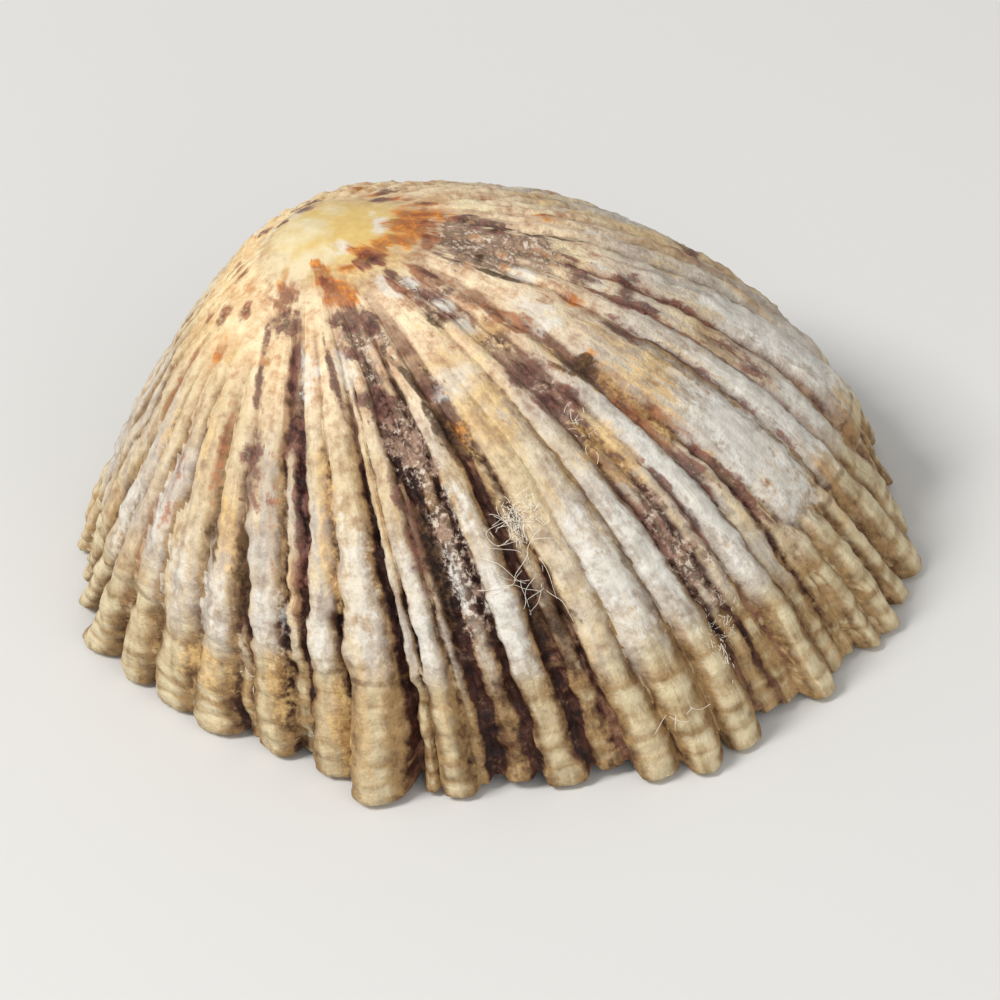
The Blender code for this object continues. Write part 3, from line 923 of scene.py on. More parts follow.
        # direction at right angles to the smooth cone
        round_x = -(half_length * sin)
        round_y = half_width * (cos + given["Rear Fullness"] * (2.0 * turn).cosine())
        reach_rate = left * left * near_reach * 3.0 + growth * left * 6.0 * (far_reach - near_reach)
        reach_rate = reach_rate + growth * growth * 3.0 * (1.0 - far_reach)
        fall_rate = left * left * 3.0 * (near_height - 1.0) + growth * left * 6.0 * (far_height - near_height)
        fall_rate = (fall_rate - growth * growth * 3.0 * far_height) * given["Height"]
        fall = -fall_rate.at_most(-1e-6)
        up = reach_rate * (out_x * round_y - out_y * round_x)
        normal = graph.vector_math("NORMALIZE", graph.vector(fall * round_y, -(fall * round_x), up))
        flat = growth.soft(0.7, 1.0).toward(growth.soft(0.9, 1.0), inside)
        level_out = graph.vector_math("NORMALIZE", graph.vector(round_y, -round_x, 0.0))
        values = {"Factor": flat, "A": normal, "B": level_out}
        outward = graph.node("ShaderNodeMix", {"data_type": "VECTOR"}, values)
        outward = graph.vector_math("NORMALIZE", graph.find(outward.outputs, "Result"))
        base = graph.vector(reach * out_x, reach * out_y, level * given["Height"])
        apex = graph.vector(given["Apex Forward"], given["Apex Lean"], 0.0)
        return graph.vector_math("SUBTRACT", base, apex), outward

    def relief_depth(self, graph: Graph, given: dict[str, Signal]) -> Signal:
        """Say how far the outside lies below the smooth cone, by its ribs and its growth check.

        Args:
            graph: The tree.
            given: The tree's inputs, by name.

        Returns:
            The depth, in metres.
        """
        growth = stored(graph, "growth")
        worn = (stored(graph, "tatter") * 2.0).soft(0.0, 0.6) * growth.soft(0.6, 0.35) * 0.6
        relief = given["Relief"] * (0.15 + 0.85 * growth ** 1.4) * growth.soft(0.13, 0.34) * (1.0 - worn)
        check = growth + stored(graph, "vein") * self.check_half
        step = check.soft(self.check_at - self.check_half, self.check_at + self.check_half)
        return relief * (1.0 - stored(graph, "crest")) + given["Check Step"] * step

    def roughness(self, graph: Graph, base: Socket) -> Signal:
        """Say how the outside swells, wrinkles and pits on top of its ribs.

        Args:
            graph: The tree.
            base: The place of each point on the smooth cone.

        Returns:
            The height, in metres.
        """
        growth = stored(graph, "growth")
        turn = stored(graph, "angle") / self.DEGREES
        broad = graph.noise(base, self.BROAD_SCALE) * self.swell
        frosted = stored(graph, FROST.value).at_most(1.0)
        bare = (1.0 - stored(graph, "crest")).at_least(0.0)
        pitted = stored(graph, SOOT.value).at_most(1.0) * bare
        fine = graph.noise(base, self.FINE_SCALE, 4.0, 0.65) * (0.07 + 0.06 * frosted + 0.22 * pitted) * MM
        wrinkle = graph.noise(around(graph, turn, growth, self.WRINKLE_CUT), 1.0, 2.0)
        wrinkle = wrinkle * growth.soft(0.45, 0.9, 0.015, 0.05) * MM
        wrinkle = wrinkle + stored(graph, "vein") * growth.soft(0.3, 0.6) * self.vein_swell
        return broad * growth.soft(0.05, 0.3) + (fine + wrinkle) * growth.soft(0.12, 0.4)


def around(graph: Graph, turn: Signal, growth: Signal, cut: tuple[float, float]) -> Socket:
    """Give a place on a cylinder for an angle in radians, so that a noise there closes on itself."""
    return graph.vector(turn.cosine() * cut[0], turn.sine() * cut[0], growth * cut[1])


def new_tree(name: str, kinds: dict[str, str]) -> tuple[Graph, dict[str, str], dict[str, Signal]]:
    """Start a Geometry Nodes tree with named inputs.

    Args:
        name: The tree's name.
        kinds: The kind of each input, by name.

    Returns:
        The tree's graph, then the identifier of each input, then what each input gives.
    """
    tree = bpy.data.node_groups.new(name, "GeometryNodeTree")
    graph = Graph(tree)
    sockets = {}
    for label, kind in kinds.items():
        item = tree.interface.new_socket(label, in_out="INPUT", socket_type=f"NodeSocket{kind}")
        sockets[label] = item.identifier
    tree.interface.new_socket("Geometry", in_out="OUTPUT", socket_type="NodeSocketGeometry")
    entry = graph.node("NodeGroupInput")
    return graph, sockets, {label: Signal(graph, entry.outputs[label]) for label in kinds}


def end_tree(graph: Graph, geometry: Socket, material: Signal) -> None:
    """End a tree: smooth, real faces with a material.

    Args:
        graph: The tree.
        geometry: What the tree has made.
        material: The tree's material input.
    """
    values = {"Geometry": geometry, "Shade Smooth": True}
    geometry = graph.node("GeometryNodeSetShadeSmooth", None, values).outputs[0]
    geometry = graph.node("GeometryNodeRealizeInstances", None, {"Geometry": geometry}).outputs[0]
    values = {"Geometry": geometry, "Material": material}
    geometry = graph.node("GeometryNodeSetMaterial", None, values).outputs[0]
    graph.node("NodeGroupOutput", None, {"Geometry": geometry})


def store(graph: Graph, geometry: Socket, name: Any, value: Any,
          kind: str = "FLOAT") -> Socket:
    """Keep a number, or a vector, at each point of a geometry.

    Args:
        graph: The tree.
        geometry: The geometry.
        name: The name to keep it under, or a socket that gives the name.
        value: What to keep.
        kind: Its data type.

    Returns:
        The geometry with it.
    """
    settings = {"data_type": kind, "domain": "POINT"}
    values = {"Geometry": geometry, "Name": name, "Value": value}
    return graph.node("GeometryNodeStoreNamedAttribute", settings, values).outputs[0]


def stored(graph: Graph, name: Any) -> Signal:
    """Read a number that is kept at each point, under a name or under what a socket names."""
    values = {"Name": name}
    return graph.signal("GeometryNodeInputNamedAttribute", {"data_type": "FLOAT"}, values, "Attribute")


def pick(graph: Graph, plan: Socket, name: str, number: Signal) -> Signal:
    """Read one value of one item of a plan."""
    values = {"Geometry": plan, "Value": stored(graph, name), "Index": number}
    return graph.signal("GeometryNodeSampleIndex", {"data_type": "FLOAT", "domain": "POINT"}, values)


def repeat(graph: Graph, geometry: Socket,
           plan: Socket) -> tuple[bpy.types.Node, bpy.types.Node, Signal]:
    """Add a repeat zone that runs once for each item of a plan.

    Args:
        graph: The tree.
        geometry: What goes into the zone.
        plan: The plan, with one point for each item.

    Returns:
        The zone's first and last node, and the number of the item whose turn it is.
    """
    start = graph.node("GeometryNodeRepeatInput")
    end = graph.node("GeometryNodeRepeatOutput")
    start.pair_with_output(end)
    count = graph.node("GeometryNodeAttributeDomainSize", {"component": "MESH"}, {"Geometry": plan})
    graph.feed(start.inputs["Iterations"], count.outputs["Point Count"])
    graph.feed(start.inputs["Geometry"], geometry)
    return start, end, Signal(graph, start.outputs["Iteration"])


def plan_object(name: str, items: Sequence[Any]) -> bpy.types.Object:
    """Write a plan: one loose point for each item, with its values as attributes.

    Args:
        name: The object's name.
        items: Dataclass objects of one kind, with numbers, members of an Enum or tuples as fields.

    Returns:
        The plan, linked to the scene.
    """
    mesh = bpy.data.meshes.new(name)
    mesh.vertices.add(len(items))
    columns = {}
    for item_field in fields(items[0]):
        values = [getattr(item, item_field.name) for item in items]
        if isinstance(values[0], Enum):
            members = list(type(values[0]))
            values = [members.index(value) for value in values]
        if isinstance(values[0], tuple):
            for place, column in enumerate(zip(*values)):
                columns[f"{item_field.name}_{place}"] = column
        else:
            columns[item_field.name] = values
    for column, values in columns.items():
        layer = mesh.attributes.new(column, "FLOAT", "POINT")
        layer.data.foreach_set("value", [float(value) for value in values])
    return linked(name, mesh)


def linked(name: str, data: Any) -> bpy.types.Object:
    """Make an object and link it to the scene.

    Args:
        name: The object's name.
        data: Its mesh, light or camera.

    Returns:
        The object.
    """
    made = bpy.data.objects.new(name, data)
    bpy.context.scene.collection.objects.link(made)
    return made


def plain_mesh(name: str, tree: bpy.types.NodeTree, sockets: dict[str, str],
               inputs: dict[str, Any]) -> bpy.types.Object:
    """Run a tree once and keep what it makes as a plain mesh.

    Args:
        name: The name of the new piece.
        tree: The Geometry Nodes tree.
        sockets: The identifier of each named input.
        inputs: What goes into the named inputs.

    Returns:
        The new piece, linked to the scene.
    """
    carrier = linked("carrier", bpy.data.meshes.new("carrier"))
    modifier = carrier.modifiers.new("grow", "NODES")
    modifier.node_group = tree
    for label, value in inputs.items():
        modifier[sockets[label]] = value
    bpy.context.view_layer.update()
    depsgraph = bpy.context.evaluated_depsgraph_get()
    mesh = bpy.data.meshes.new_from_object(carrier.evaluated_get(depsgraph), depsgraph=depsgraph)
    bpy.data.objects.remove(carrier)
    mesh.name = name
    return linked(name, mesh)


def stand_in_box(piece: bpy.types.Object, box: tuple[Vector, Vector]) -> None:
    """Move a mesh so that it stands on the box's floor, in the middle of the box.

    Args:
        piece: The piece whose mesh moves.
        box: The box's lowest and highest corners.
    """
    corners = [Vector(corner) for corner in piece.bound_box]
    low = Vector([min(corner[axis] for corner in corners) for axis in range(3)])
    high = Vector([max(corner[axis] for corner in corners) for axis in range(3)])
    shift = 0.5 * (box[0] + box[1]) - 0.5 * (low + high)
    shift.z = box[0].z - low.z
    piece.data.transform(Matrix.Translation(shift))


def new_material(name: str) -> tuple[bpy.types.Material, bpy.types.Node]:
    """Make a material.

    Args:
        name: Its name.

    Returns:
        The material and its shader node.
    """
    material = bpy.data.materials.new(name)
    material.use_nodes = True
    return material, material.node_tree.nodes["Principled BSDF"]


@dataclass(frozen=True)
class PlainFinish:
    """A finish of one colour."""

    name: str
    colour: str
    roughness: float

    def build(self) -> bpy.types.Material:
        """Write the material.

        Returns:
            The material.
        """
        material, shader = new_material(self.name)
        shader.inputs["Base Color"].default_value = linear(self.colour)
        shader.inputs["Roughness"].default_value = self.roughness
        return material


def attribute(graph: Graph, name: str) -> Signal:
    """Read a number that the shell's mesh carries, in a material."""
    return graph.signal("ShaderNodeAttribute", {"attribute_name": name}, None, "Fac")


@dataclass(frozen=True)
class Grit:
    """What the parts of the finish share: noises, values of the mesh, and how far aft a point is."""

    graph: Graph
    coarse: Signal
    middle: Signal
    speck: Signal
    grain: Signal
    streak: Signal
    growth: Signal
    flank: Signal
    crown: Signal
    aft: Signal

    def mottled(self, pair: tuple[str, str], shift: float = 0.0, rough: float = 0.5) -> Socket:
        """Mix the dark and the light colour of a pair by the grain."""
        mottle = (self.middle * 1.1 + self.speck + self.grain * 0.5 + self.streak) * rough + shift
        return self.graph.blend(mottle.soft(-0.8, 0.5), *pair)

    def bands(self, count: float, wave: Signal) -> Signal:
        """Read a noise along the growth alone, which gives wavy lines that run round the shell."""
        return self.graph.noise(self.graph.vector(0.0, 0.0, self.growth * count + wave), 1.0, 2.0)


@dataclass(frozen=True)
class ShellFinish:
    """The finish of the whole shell: worn and ribbed outside, glossy inside.

    Each ground colour is a pair, dark and light, that the grain mixes. A pigment's tone is such a pair
    and a strength. The colour zones meet between two growths. The noises have a scale and a detail,
    and some a roughness.
    """

    apex: tuple[str, str] = ("DDA948", "F0D284")
    apex_worn: tuple[str, str] = ("EACB88", "F3E6BC")
    young_left: tuple[str, str] = ("C68A4E", "E8CE9C")
    young_right: tuple[str, str] = ("AC7650", "F1DAB6")
    cream: tuple[str, str] = ("987250", "DAC6A0")
    grey: tuple[str, str] = ("968676", "D4CBBE")
    # brown of rib flanks, groove edges and the check line; on the right flanks above the check it is partly
    # painted shade
    flank: tuple[str, str] = ("4E2E1C", "A08054")
    stain: tuple[str, str] = ("84583A", "C9A26C")
    tan: tuple[str, str] = ("70502E", "B8986A")
    tan_pale: tuple[str, str] = ("B09A70", "DDCEAA")
    groove: tuple[str, str] = ("1E0D08", "4A271A")
    frost: tuple[str, str] = ("3C221E", "A28470")
    frost_speck: str = "E0D2BE"
    vein: tuple[str, str] = ("5C332B", "9A6A52")
    fleck: str = "F1E6CE"
    groove_fleck: str = "8E7E6C"
    grain_dark: str = "6A4028"
    scar: tuple[str, str] = ("96602F", "C79C66")
    porcelain: tuple[str, str] = ("D8CCB8", "E8E1D4")
    ray: str = "33242A"
    tones: dict[Pigment, tuple[str, str, float]] = field(default_factory=lambda: {
        CHALK: ("CBC6BA", "E3E0D8", 0.65),
        OCHRE: ("A07240", "E2BE80", 0.65),
        EMBER: ("8E4016", "DC9040", 0.95),
        RUSSET: ("5E281C", "AA7250", 0.9),
        PLUM: ("32181A", "8A5C4E", 0.9),
        UMBER: ("1C100A", "6A4C32", 0.9),
    })
    cap_end: tuple[float, float] = (0.09, 0.2)
    young_end: tuple[float, float] = (0.32, 0.5)
    new_start: tuple[float, float] = (0.75, 0.88)
    new_edge: tuple[float, float] = (0.812, 0.828)
    scar_end: tuple[float, float] = (0.3, 0.42)
    turn_pink: tuple[float, float] = (-9.0 * MM, 0.0)
    line_at: float = 0.817
    tan_bands: float = 36.0
    growth_lines: float = 80.0
    roughness: float = 0.5
    inner_roughness: float = 0.2
    specular: float = 0.2
    coat: float = 0.5
    coat_roughness: float = 0.1
    bump: float = 0.8
    bump_height: float = 0.12 * MM

    COARSE_NOISE = (300.0, 3.0)
    MIDDLE_NOISE = (1100.0, 4.0, 0.6)
    SPECK_NOISE = (2600.0, 3.0, 0.6)
    GRAIN_NOISE = (4800.0, 4.0, 0.7)
    STREAK_NOISE = (1.0, 4.0, 0.6)

    def build(self) -> bpy.types.Material:
        """Write the material.

        Returns:
            The material.
        """
        material, shader = new_material(SHELL_SLOT)
        graph = Graph(material.node_tree)
        grit = self.read_grit(graph)
        inside = attribute(graph, "inside")
        colour = self.groove_lines(self.ground(grit), grit)
        colour = self.weathering(self.pigments(colour, grit), grit)
        rough = self.roughness + grit.grain * 0.1 + attribute(graph, FROST.value) * 0.2
        inputs = {
            "Base Color": graph.blend(inside.soft(0.3, 0.9), colour, self.hollow(grit)),
            "Roughness": rough.toward(self.inner_roughness, inside.soft(0.5, 1.0)),
            "Specular IOR Level": self.specular,
            "Coat Weight": inside * self.coat,
            "Coat Roughness": self.coat_roughness,
            "Normal": self.relief(grit, inside),
        }
        for name, value in inputs.items():
            graph.feed(shader.inputs[name], value)
        return material

    def read_grit(self, graph: Graph) -> Grit:
        """Make the noises, and read what the mesh carries.

        Args:
            graph: The material's nodes.

        Returns:
            What the parts of the finish share.
        """
        place = graph.node("ShaderNodeTexCoord").outputs["Object"]
        fibre = graph.node("ShaderNodeAttribute", {"attribute_name": "fibre"}).outputs["Vector"]
        growth = attribute(graph, "growth")
        return Grit(
            graph=graph,
            coarse=graph.noise(place, *self.COARSE_NOISE),
            middle=graph.noise(place, *self.MIDDLE_NOISE),
            speck=graph.noise(place, *self.SPECK_NOISE),
            grain=graph.noise(place, *self.GRAIN_NOISE),
            streak=graph.noise(fibre, *self.STREAK_NOISE) * growth.soft(0.2, 0.6, 0.25, 1.0),
            growth=growth,
            flank=attribute(graph, "flank"),
            crown=attribute(graph, "crown"),
            aft=graph.signal("ShaderNodeSeparateXYZ", None, {0: place}),
        )

    def ground(self, grit: Grit) -> Socket:
        """Colour the young, the old and the new zone, and the veins that run along all three.

        Args:
            grit: What the parts of the finish share.

        Returns:
            The colour.
        """
        graph = grit.graph
        vein = attribute(graph, "vein")
        edge = grit.growth + grit.coarse * 0.03 + grit.streak * 0.03 + grit.middle * 0.01
        colour = graph.blend(edge.soft(*self.young_end), self.young_zone(grit), self.old_zone(grit))
        ragged = grit.growth + vein * 0.04 + grit.coarse * 0.02 + grit.middle * 0.01
        sharp = (grit.growth + grit.middle * 0.006 + grit.coarse * 0.006).soft(*self.new_edge)
        edge = (ragged.soft(*self.new_start) + sharp * grit.coarse.soft(-0.3, 0.5, 0.1, 0.5)).at_most(1.0)
        colour = graph.blend(edge, colour, self.new_zone(grit))
        vein = vein + grit.streak * 0.4 + grit.middle * 0.2 + (0.5 - grit.crown) * 0.5
        shown = grit.growth.soft(0.2, 0.3) * grit.growth.soft(0.95, 0.7, 0.3, 1.0) * 0.65
        return graph.blend(vein.soft(0.2, 0.85) * shown, colour, grit.mottled(self.vein))

    def young_zone(self, grit: Grit) -> Socket:
        """Colour the smooth first part: a yellow cap, warm cream to its left and pinker to its right.

        Args:
            grit: What the parts of the finish share.

        Returns:
            The colour.
        """
        graph = grit.graph
        cap = graph.blend(
            (grit.coarse + grit.middle * 0.3).soft(0.0, 0.7),
            grit.mottled(self.apex, 0.2, 0.15), grit.mottled(self.apex_worn, 0.3, 0.15))
        left = grit.mottled(self.young_left, 0.15, 0.4)
        right = grit.mottled(self.young_right, 0.1, 0.45)
        body = graph.blend((grit.aft + grit.coarse * 0.002).soft(*self.turn_pink), left, right)
        cloud = (grit.coarse * 0.6 + grit.middle * 0.7 + grit.speck * 0.3).soft(0.1, 0.7) * 0.6
        body = graph.blend(cloud, body, grit.mottled(self.apex_worn, 0.1, 0.3))
        return graph.blend((grit.growth + grit.coarse * 0.02).soft(*self.cap_end), cap, body)

    def old_zone(self, grit: Grit) -> Socket:
        """Colour the ribs above the growth check: cream to grey, stained, with right flanks in own brown and
        painted shade.

        Args:
            grit: What the parts of the finish share.

        Returns:
            The colour.
        """
        graph = grit.graph
        warm = attribute(graph, "warmth") + grit.coarse * 0.4 + grit.streak * 0.3
        warm = warm + grit.growth.soft(0.75, 0.45, 0.0, 0.3)
        rib = graph.blend(
            warm.soft(0.2, 0.8), grit.mottled(self.grey, 0.05, 0.32), grit.mottled(self.cream, 0.05, 0.36))
        stain = (grit.coarse * 0.7 + grit.streak * 0.7 - 0.1).soft(0.1, 0.7) * 0.7
        rib = graph.blend(stain, rib, grit.mottled(self.stain))
        # painted shade: each rib's right flank turns brown, partly its own brown and partly the shade of a
        # light from the left
        flank = grit.flank + grit.middle * 0.2 + grit.streak * 0.15
        return graph.blend(flank.soft(0.3, 0.75) * 0.9, rib, grit.mottled(self.flank))

    def new_zone(self, grit: Grit) -> Socket:
        """Colour the ribs below the growth check: tan in fine bands, with brown flanks.

        Args:
            grit: What the parts of the finish share.

        Returns:
            The colour.
        """
        graph = grit.graph
        pale = grit.bands(self.tan_bands, grit.middle * 0.12 + grit.coarse * 0.25) * 0.8
        pale = pale + grit.coarse * 0.3 + grit.streak * 0.2 + grit.crown.soft(0.5, 1.0, -0.4, 0.25)
        rib = graph.blend(
            pale.soft(-0.5, 0.5), grit.mottled(self.tan, 0.0, 0.3), grit.mottled(self.tan_pale, 0.1, 0.3))
        stain = (grit.coarse * 0.6 + grit.streak * 0.6).soft(0.0, 0.8) * 0.6
        rib = graph.blend(stain, rib, grit.mottled(self.stain))
        soot = attribute(graph, SOOT.value).at_most(1.0)
        flank = (grit.flank * 0.92).size() + grit.middle * 0.2 + grit.streak * 0.2 + soot * 0.12
        return graph.blend(flank.soft(0.3, 0.75, soot * 0.22, 0.9), rib, grit.mottled(self.flank))

    def groove_lines(self, colour: Socket, grit: Grit) -> Socket:
        """Darken the grooves, most where the soot marks say, and draw the thin dark line of the check.

        Args:
            colour: The colour so far.
            grit: What the parts of the finish share.

        Returns:
            The colour with its grooves.
        """
        graph = grit.graph
        soot = (attribute(graph, SOOT.value) + grit.middle * 0.15).soft(0.1, 0.8)
        crown = grit.crown + grit.middle * 0.06 + grit.grain * 0.06 - soot * 0.15
        strength = grit.growth.soft(0.2, 0.5, 0.25, 1.0)
        shade = crown.soft(0.6, 0.3) * strength * (0.45 + soot * 0.45)
        colour = graph.blend(shade, colour, grit.mottled(self.flank, -0.2))
        flecks = (grit.speck * 0.5 + grit.grain * 0.4 + grit.middle * 0.3).soft(0.15, 0.8) * 0.6
        groove = graph.blend(flecks, grit.mottled(self.groove, -0.2), self.groove_fleck)
        groove = graph.blend(soot, grit.mottled(self.vein, -0.45), groove)
        colour = graph.blend(crown.soft(0.38, 0.15) * strength * (0.7 + soot * 0.3), colour, groove)
        line = (grit.growth + grit.middle * 0.004 + grit.coarse * 0.004 - self.line_at).size()
        line = line.soft(0.007, 0.002) * (grit.coarse + grit.middle * 0.5).soft(-0.2, 0.6) * 0.6
        return graph.blend(line, colour, grit.mottled(self.flank, -0.3))

    def pigments(self, colour: Socket, grit: Grit) -> Socket:
        """Lay the marks of pigment over the ground colour.

        Args:
            colour: The colour so far.
            grit: What the parts of the finish share.

        Returns:
            The colour with its marks.
        """
        graph = grit.graph
        ragged = grit.middle * 0.4 + grit.speck * 0.45 + grit.grain * 0.3 + grit.streak * 0.25
        ragged = ragged * grit.growth.soft(0.1, 0.3, 0.5, 1.0)
        fleck = grit.speck * 0.6 + grit.grain * 0.5
        tone = graph.blend((grit.middle * 0.6 + fleck).soft(-0.4, 0.4), *self.frost)
        specks = (grit.grain + grit.streak * 0.3 - grit.middle * 0.3).soft(0.1, 0.6) * 0.8
        tone = graph.blend(specks, tone, self.frost_speck)
        colour = graph.blend(self.patch(attribute(graph, FROST.value), ragged) * 0.95, colour, tone)
        for pigment, (deep, light, strength) in self.tones.items():
            depth = attribute(graph, pigment.value)
            tone = graph.blend((fleck + grit.streak * 0.4 - depth * 0.4).soft(-0.9, 0.5), deep, light)
            if pigment is CHALK:
                mask = self.patch(depth, ragged, 1.0) * (1.15 - attribute(graph, "warmth") * 0.8)
            else:
                mask = self.patch(depth, ragged)
            colour = graph.blend(mask * strength, colour, tone)
        return colour

    @staticmethod
    def patch(depth: Signal, ragged: Signal, most: float = 0.65) -> Signal:
        """Say how strong a mark is: ragged at its edge and, unless most is high, broken by flecks inside."""
        return (depth.at_most(most) * 1.1 + ragged).soft(0.1, 0.8) * depth.soft(0.0, 0.12)

    def weathering(self, colour: Socket, grit: Grit) -> Socket:
        """Mottle everything with fine pale and dark grains.

        Args:
            colour: The colour so far.
            grit: What the parts of the finish share.

        Returns:
            The colour with its grains.
        """
        graph = grit.graph
        amount = grit.growth.soft(0.1, 0.45, 0.1, 0.6) * grit.growth.soft(0.8, 0.86, 1.0, 0.6)
        amount = amount * (1.0 - attribute(graph, CHALK.value).at_most(1.0) * 0.5)
        pale = (grit.grain + grit.middle * 0.5).soft(0.5, 1.1) * amount * grit.crown.soft(0.3, 0.7) * 0.7
        colour = graph.blend(pale, colour, self.fleck)
        dark = (grit.grain - grit.middle * 0.4 - grit.streak * 0.3).soft(-0.5, -1.2) * amount * 0.45
        return graph.blend(dark, colour, self.grain_dark)

    def hollow(self, grit: Grit) -> Socket:
        """Colour the glossy inside: cream with an orange-brown scar, and dark rays at the margin.

        Args:
            grit: What the parts of the finish share.

        Returns:
            The colour.
        """
        graph = grit.graph
        cloud = grit.coarse.soft(-0.5, 0.5)
        edge = grit.growth + grit.coarse * 0.06 + grit.middle * 0.02
        scar = graph.blend(cloud, *self.scar)
        ground = graph.blend(edge.soft(*self.scar_end), scar, graph.blend(cloud, *self.porcelain))
        rays = (grit.crown + grit.middle * 0.1).soft(0.75, 0.35) * grit.growth.soft(0.55, 0.92) * 0.85
        return graph.blend(rays, ground, self.ray)

    def relief(self, grit: Grit, inside: Signal) -> Socket:
        """Raise the fine grain, and the growth lines that cross the ribs.

        Args:
            grit: What the parts of the finish share.
            inside: 1 on the inside of the shell, else 0.

        Returns:
            The surface's direction.
        """
        lines = grit.bands(self.growth_lines, grit.middle * 0.3) * grit.growth.soft(0.3, 0.85, 0.05, 0.18)
        height = grit.grain * 0.24 + grit.speck * 0.1 + grit.middle * 0.2 + grit.streak * 0.1 + lines
        worn = attribute(grit.graph, CHALK.value).at_most(1.0)
        height = height * inside.soft(0.5, 0.0) * grit.growth.soft(0.08, 0.3, 0.15, 1.0) * (1.0 - worn * 0.45)
        values = {"Strength": self.bump, "Distance": self.bump_height, "Height": height}
        return grit.graph.node("ShaderNodeBump", None, values).outputs["Normal"]


@dataclass(frozen=True)
class Tuft:
    """A tuft of loose fibres.

    It has an angle and growth, a number of hairs, the distance over which they are strewn, the least
    and the greatest length of a hair (all three in millimetres), and how much the hairs curl, in
    radians per millimetre.
    """

    angle: float
    growth: float
    hairs: int
    spread: float
    shortest: float
    longest: float
    curl: float


@dataclass
class Lint:
    """The loose fibres that lie on the shell.

    A hair is a walk with steps in millimetres, whose heading wanders by so many radians a step.
    """

    radius: float = 0.009 * MM
    step: float = 0.1
    wander: float = 0.12
    rise: float = 0.3 * MM
    sides: int = 4
    smoothing: int = 3
    seed: int = 3
    finish: PlainFinish = PlainFinish("pale_lint", "EEE5D3", 0.7)
    tufts: tuple[Tuft, ...] = (
        Tuft(310.0, 0.605, 170, 0.25, 0.2, 0.6, 3.4),
        Tuft(313.0, 0.590, 80, 0.22, 0.2, 0.5, 3.0),
        Tuft(309.5, 0.650, 9, 0.35, 1.2, 2.4, 0.9),
        Tuft(309.0, 0.700, 6, 0.30, 1.2, 2.4, 0.8),
        Tuft(342.2, 0.700, 2, 0.05, 1.2, 1.5, 0.3),
        Tuft(320.5, 0.910, 5, 0.40, 0.8, 1.4, 0.6),
        Tuft(334.5, 0.840, 50, 0.40, 0.2, 0.5, 3.0),
        Tuft(332.0, 0.860, 40, 0.35, 0.2, 0.5, 3.0),
        Tuft(337.0, 0.520, 24, 0.60, 0.3, 0.7, 2.6),
        Tuft(334.0, 0.270, 10, 0.40, 0.2, 0.4, 3.0),
        Tuft(259.5, 0.880, 5, 0.30, 0.3, 0.6, 1.0),
    )

    def build(self, shell: bpy.types.Object) -> bpy.types.Object:
        """Lay all hairs on the shell, as one mesh of fine tubes.

        Args:
            shell: The finished shell, which carries its angles and growths.

        Returns:
            The lint.
        """
        plan = self.plan(shell)
        graph, sockets = self.lay()
        inputs = {
            "Plan": plan, "Shell": shell, "Radius": self.radius, "Sides": self.sides,
            "Material": self.finish.build(),
        }
        lint = plain_mesh("lint", graph.tree, sockets, inputs)
        bpy.data.objects.remove(plan)
        return lint

    def lay(self) -> tuple[Graph, dict[str, str]]:
        """Write the tree that lays the planned hairs on the shell.

        Returns:
            The tree's graph, and the identifier of each named input.
        """
        graph, sockets, given = new_tree("lay_lint", {
            "Plan": "Object", "Shell": "Object", "Radius": "Float", "Sides": "Int", "Material": "Material"})
        hairs = graph.node("GeometryNodeObjectInfo", None, {"Object": given["Plan"]}).outputs["Geometry"]
        ground = graph.node("GeometryNodeObjectInfo", None, {"Object": given["Shell"]}).outputs["Geometry"]
        curves = graph.node("GeometryNodeMeshToCurve", None, {"Mesh": hairs}).outputs[0]
        near = graph.node("GeometryNodeProximity", {"target_element": "FACES"}, {"Geometry": ground})
        near = near.outputs["Position"]
        up = graph.vector_math("NORMALIZE", near)
        place = graph.vector_math("ADD", near, graph.scaled(up, stored(graph, "lift") + given["Radius"]))
        values = {"Value": place, "Iterations": self.smoothing}
        blur = graph.node("GeometryNodeBlurAttribute", {"data_type": "FLOAT_VECTOR"}, values)
        values = {"Geometry": curves, "Position": graph.find(blur.outputs, "Value")}
        curves = graph.node("GeometryNodeSetPosition", None, values).outputs[0]
        values = {"Resolution": given["Sides"], "Radius": given["Radius"]}
        ring = graph.node("GeometryNodeCurvePrimitiveCircle", None, values).outputs[0]
        values = {"Curve": curves, "Profile Curve": ring, "Fill Caps": True}
        end_tree(graph, graph.node("GeometryNodeCurveToMesh", None, values).outputs[0], given["Material"])
        return graph, sockets

    def plan(self, shell: bpy.types.Object) -> bpy.types.Object:
        """Write the middle lines of all hairs, with how far each point is lifted off the shell.

        Args:
            shell: The finished shell.

        Returns:
            The plan, linked to the scene.
        """
        rng = random.Random(self.seed)
        columns = []
        for name in ("angle", "growth", "inside"):
            columns.append([0.0] * len(shell.data.vertices))
            shell.data.attributes[name].data.foreach_get("value", columns[-1])
        points, edges, lifts = [], [], []
        for tuft in self.tufts:
            far = [abs(angle - tuft.angle) / 180.0 + abs(growth - tuft.growth) + inside
                   for angle, growth, inside in zip(*columns)]
            anchor = shell.data.vertices[far.index(min(far))]
            for _ in range(tuft.hairs):
                line = self.hair(rng, anchor, tuft)
                rise = self.rise * rng.random()
                last = len(line) - 1
                edges += [(len(points) + place, len(points) + place + 1) for place in range(last)]
                lifts += [rise * math.sin(math.pi * place / last) for place in range(last + 1)]
                points += line
        mesh = bpy.data.meshes.new("lint_plan")
        mesh.from_pydata(points, edges, [])
        mesh.attributes.new("lift", "FLOAT", "POINT").data.foreach_set("value", lifts)
        return linked("lint_plan", mesh)

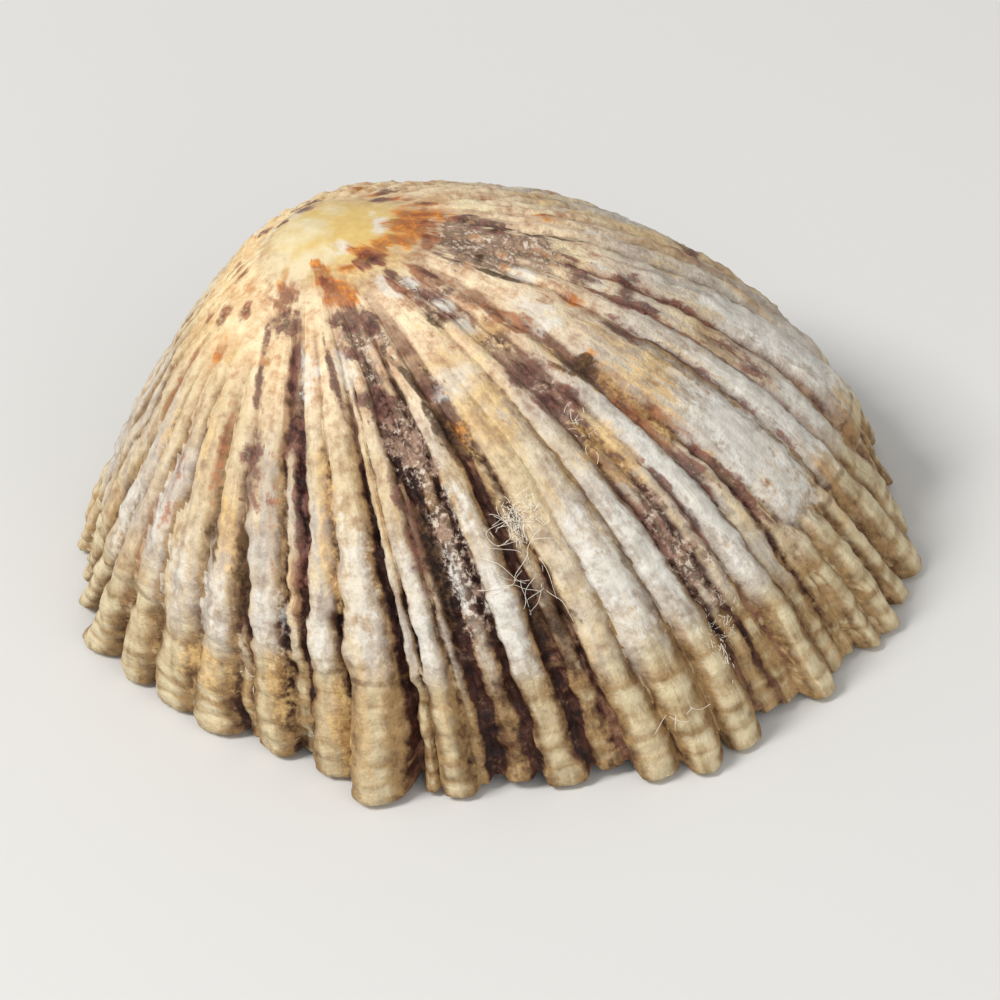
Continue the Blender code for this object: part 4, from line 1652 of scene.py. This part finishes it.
    def hair(self, rng: random.Random, anchor: bpy.types.MeshVertex, tuft: Tuft) -> list[Vector]:
        """Walk along one hair, in a plane that touches the shell at the tuft, with a wandering heading.

        Args:
            rng: Where the random numbers come from.
            anchor: The shell's point nearest to the tuft.
            tuft: The hair's tuft.

        Returns:
            The places on the way.
        """
        side = anchor.normal.orthogonal().normalized()
        other = anchor.normal.cross(side)
        strewn = [rng.gauss(0.0, tuft.spread * MM) for _ in range(2)]
        place = anchor.co + side * strewn[0] + other * strewn[1]
        heading = rng.uniform(0.0, 2.0 * math.pi)
        bend = rng.gauss(0.0, tuft.curl) * self.step
        line = []
        for _ in range(round(rng.uniform(tuft.shortest, tuft.longest) / self.step) + 1):
            line.append(place.copy())
            heading += bend + rng.gauss(0.0, self.wander)
            place += (side * math.cos(heading) + other * math.sin(heading)) * (self.step * MM)
        return line


@dataclass(frozen=True)
class Lamp:
    """A square lamp that shines at the middle of the shell."""

    name: str
    place: tuple[float, float, float]
    size: float
    power: float

    def hang(self) -> None:
        """Hang the lamp."""
        data = bpy.data.lights.new(self.name, "AREA")
        data.size = self.size
        data.energy = self.power
        lamp = linked(self.name, data)
        lamp.location = self.place
        lamp.rotation_euler = Vector(self.place).to_track_quat("Z", "Y").to_euler()


@dataclass
class Studio:
    """The floor, the light and the camera. The camera's turns are in degrees, its lens in millimetres."""

    azimuth: float = 30.0
    elevation: float = 36.0
    roll: float = -7.0
    distance: float = 180.0 * MM
    lens: float = 190.08
    sensor: float = 36.0
    clip: tuple[float, float] = (0.005, 10.0)
    aim: tuple[float, float, float] = (0.75 * MM, 0.0, 2.52 * MM)
    floor_size: float = 2.0
    floor_drop: float = 0.1 * MM
    floor_finish: PlainFinish = PlainFinish("pale_floor", "D2D0CC", 0.9)
    room_colour: str = "F2F4F6"
    room_strength: float = 0.52
    lamps: tuple[Lamp, ...] = (
        Lamp("key_light", (-0.15, -0.16, 0.27), 0.12, 1.0),
        Lamp("fill_light", (0.25, -0.2, 0.15), 0.3, 0.5),
    )

    def floor(self) -> None:
        """Lay a plain pale floor."""
        bpy.ops.mesh.primitive_plane_add(size=self.floor_size, location=(0.0, 0.0, -self.floor_drop))
        floor = bpy.context.object
        floor.name = "floor"
        floor.data.materials.append(self.floor_finish.build())

    def light(self) -> None:
        """Hang the lamps, in a pale room."""
        world = bpy.data.worlds.new("studio")
        world.use_nodes = True
        background = world.node_tree.nodes["Background"]
        background.inputs["Color"].default_value = linear(self.room_colour)
        background.inputs["Strength"].default_value = self.room_strength
        bpy.context.scene.world = world
        bpy.context.scene.view_settings.view_transform = "Standard"
        for lamp in self.lamps:
            lamp.hang()

    def camera(self) -> None:
        """Set the camera where the photograph was taken from."""
        azimuth, elevation, roll = [math.radians(turn) for turn in (self.azimuth, self.elevation, self.roll)]
        level = Vector((math.sin(azimuth), -math.cos(azimuth), 0.0))
        back = level * math.cos(elevation) + Vector((0.0, 0.0, math.sin(elevation)))
        right = Vector((math.cos(azimuth), math.sin(azimuth), 0.0))
        up = back.cross(right)
        turned_right = math.cos(roll) * right + math.sin(roll) * up
        turned_up = math.cos(roll) * up - math.sin(roll) * right
        data = bpy.data.cameras.new("camera")
        data.lens = self.lens
        data.sensor_width = self.sensor
        data.clip_start, data.clip_end = self.clip
        camera = linked("camera", data)
        turn = Matrix((turned_right, turned_up, back)).transposed().to_4x4()
        camera.matrix_world = Matrix.Translation(Vector(self.aim) + back * self.distance) @ turn
        bpy.context.scene.camera = camera


def report(piece: bpy.types.Object) -> None:
    """Log how many points and faces a piece has."""
    LOG.info("%s: %d points, %d faces", piece.name, len(piece.data.vertices), len(piece.data.polygons))


def main() -> None:
    """Build the shell, the lint and the studio."""
    logging.basicConfig(level=logging.INFO, format="%(message)s")
    shell = ShellForm().build(ShellFinish().build())
    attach(shell, BODY)
    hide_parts(SHELL_NODE)
    lint = Lint().build(shell)
    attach(lint, BODY)
    report(shell)
    report(lint)
    studio = Studio()
    studio.floor()
    studio.light()
    studio.camera()


if __name__ == "__main__":
    main()
